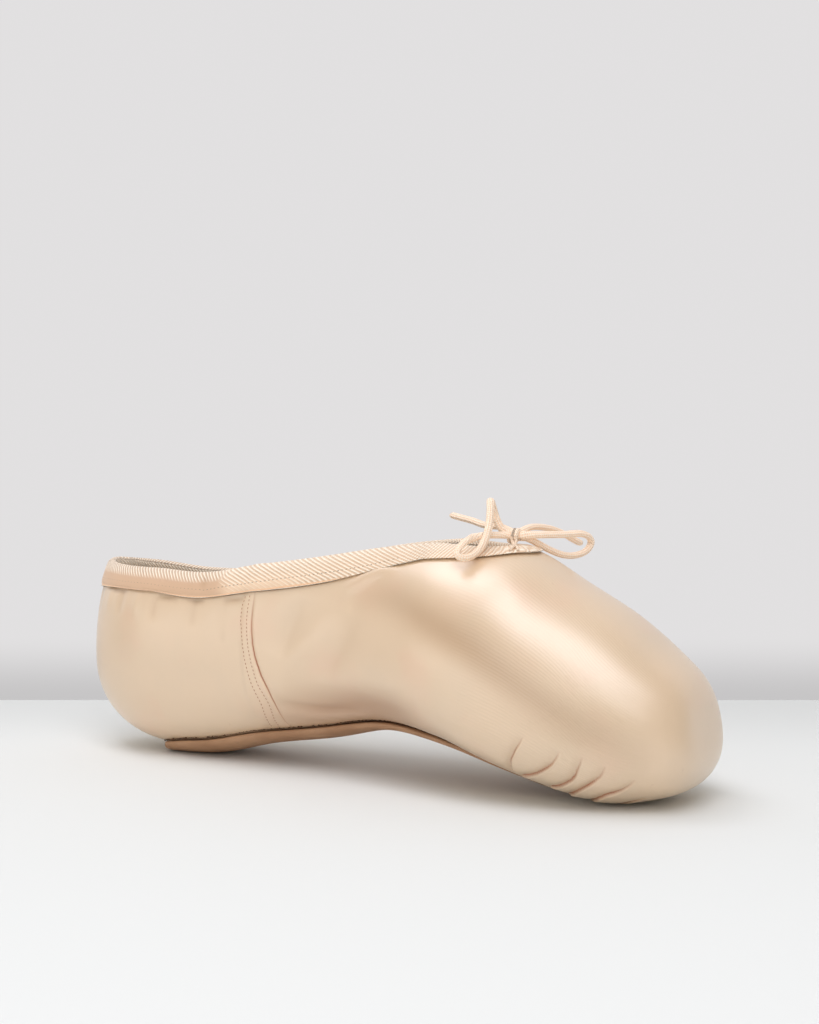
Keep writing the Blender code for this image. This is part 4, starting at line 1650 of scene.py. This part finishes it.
@dataclass(frozen=True)
class Camera:
    """The photograph's view of the shoe."""

    azimuth: float = 29.5
    elevation: float = 9.04
    distance: float = 0.620
    target: Point = (0.0, 0.0, 0.030)
    lens: float = 62.82
    sensor: float = 36.0
    nearest: float = 0.01
    shift: Span = (0.0290, 0.1681)

    def build(self) -> None:
        """Set the camera up."""
        around, above = math.radians(self.azimuth), math.radians(self.elevation)
        flat = math.cos(above)
        back = Vector((math.sin(around) * flat, -math.cos(around) * flat, math.sin(above)))
        bpy.ops.object.camera_add(location=Vector(self.target) + back * self.distance)
        camera = bpy.context.object
        camera.name = "camera"
        camera.rotation_euler = (-back).to_track_quat("-Z", "Y").to_euler()
        camera.data.sensor_width = self.sensor
        camera.data.lens = self.lens
        camera.data.shift_x, camera.data.shift_y = self.shift
        camera.data.clip_start = self.nearest
        bpy.context.scene.camera = camera


@dataclass(frozen=True)
class Lamp:
    """A soft light that faces the shoe. Its length runs along its long way; its power is in watts."""

    name: str
    place: Point
    size: Span
    power: float
    colour: Colour
    long_way: Point = (0.87, -0.5, 0.0)
    aim: Point = (0.0, 0.0, 0.040)

    def hang(self) -> None:
        """Add the light."""
        bpy.ops.object.light_add(type="AREA", location=self.place)
        lamp = bpy.context.object
        lamp.name = self.name
        lamp.data.shape = "RECTANGLE"
        lamp.data.size, lamp.data.size_y = self.size
        lamp.data.energy = self.power
        lamp.data.color = self.colour
        back, length = (Vector(self.place) - Vector(self.aim)).normalized(), Vector(self.long_way)
        wide = (length - back * back.dot(length)).normalized()
        lamp.rotation_euler = Matrix((wide, back.cross(wide), back)).transposed().to_euler()


@dataclass(frozen=True)
class Studio:
    """A pale floor that ends behind the shoe, a pale backdrop and large soft lights."""

    facing: float = 29.5
    floor_size: float = 6.0
    floor_end: float = 0.1451
    wall_distance: float = 0.90
    wall_size: float = 8.0
    floor_colour: Colour = (0.800, 0.825, 0.815)
    wall_colour: Colour = (0.758, 0.746, 0.750)
    floor_dim: float = 0.89
    floor_dims: float = -0.02
    wall_dim: float = 0.75
    wall_dims: Span = (-0.070, -0.126)
    world_colour: Colour = (1.0, 0.955, 0.90)
    world_strength: float = 0.37
    lamps: tuple[Lamp, ...] = (
        Lamp("top_light", (0.29, -0.53, 1.16), (1.15, 0.72), 8.1, (0.965, 0.95, 1.0)),
        Lamp("back_light", (-0.44, -0.04, 1.15), (0.50, 0.48), 2.6, (0.965, 0.95, 1.0)),
        Lamp("toe_light", (0.60, -0.98, 0.66), (0.60, 0.40), 1.35, (1.0, 0.98, 1.0)),
        Lamp("front_light", (-0.45, -1.45, 0.42), (1.8, 0.7), 3.6, (1.0, 0.975, 0.95), (1.0, 0.0, 0.0)))

    def build(self) -> None:
        """Lay the floor, stand the backdrop and hang the lights."""
        around = math.radians(self.facing)
        front = Vector((math.sin(around), -math.cos(around), 0.0))
        middle, wall = front * (self.floor_size / 2 - self.floor_end), front * -self.wall_distance
        self.sheet("floor", self.floor_size, middle, (0.0, 0.0, around), self.floor_finish(front))
        self.sheet("backdrop", self.wall_size, wall, (math.pi / 2, 0.0, around), self.wall_finish())
        for lamp in self.lamps:
            lamp.hang()
        world = bpy.data.worlds.new("studio")
        world.use_nodes = True
        glow = world.node_tree.nodes["Background"].inputs
        glow[0].default_value, glow[1].default_value = (*self.world_colour, 1.0), self.world_strength
        bpy.context.scene.world = world
        bpy.context.scene.view_settings.view_transform = "Standard"

    def floor_finish(self, front: Vector) -> Material:
        """White, with painted shade that makes it a little darker towards its far end.

        Args:
            front: The direction from the floor's far end to the camera.

        Returns:
            The material.
        """
        g = Graph("floor")
        dot = {"operation": "DOT_PRODUCT"}
        across = g.node("ShaderNodeVectorMath", dot, "Value", in0=g.place(), in1=tuple(front))
        far = across.between(self.floor_dims, -self.floor_end)
        grey = tuple(part * self.floor_dim for part in self.floor_colour)
        base = g.mix(far, self.floor_colour, grey)
        return g.finish(Base_Color=base, Roughness=0.8, Specular_IOR_Level=0.2)

    def wall_finish(self) -> Material:
        """Evenly bright, with painted shade that darkens it towards the floor.

        Returns:
            The material.
        """
        g = Graph("backdrop")
        _, _, height = g.parts(g.place())
        low = height.between(*self.wall_dims)
        grey = tuple(part * self.wall_dim for part in self.wall_colour)
        return g.finish(Base_Color=(0.0, 0.0, 0.0, 1.0), Roughness=1.0, Specular_IOR_Level=0.0,
                        Emission_Color=g.mix(low, self.wall_colour, grey), Emission_Strength=1.0)

    def sheet(self, name: str, size: float, place: Vector, turn: Point,
              finish: Material) -> None:
        """Lay a plain plane.

        Args:
            name: Its name.
            size: The length of its sides.
            place: Its middle.
            turn: Its rotation.
            finish: Its material.
        """
        bpy.ops.mesh.primitive_plane_add(size=size, location=place, rotation=turn)
        made = settle(added(name))
        made.data.materials.append(finish)


def dress_insole() -> None:
    """Give the insole, whose solid stays, its canvas."""
    node = frame["nodes"]["insole"]
    node.data.materials.clear()
    node.data.materials.append(Canvas().make())


def main() -> None:
    """Build every piece in order."""
    logging.basicConfig(level=logging.INFO)
    Camera().build()
    Studio().build()
    Bow().build()
    Upper().build()
    Casing().build()
    Sole().build()
    dress_insole()


if __name__ == "__main__":
    main()
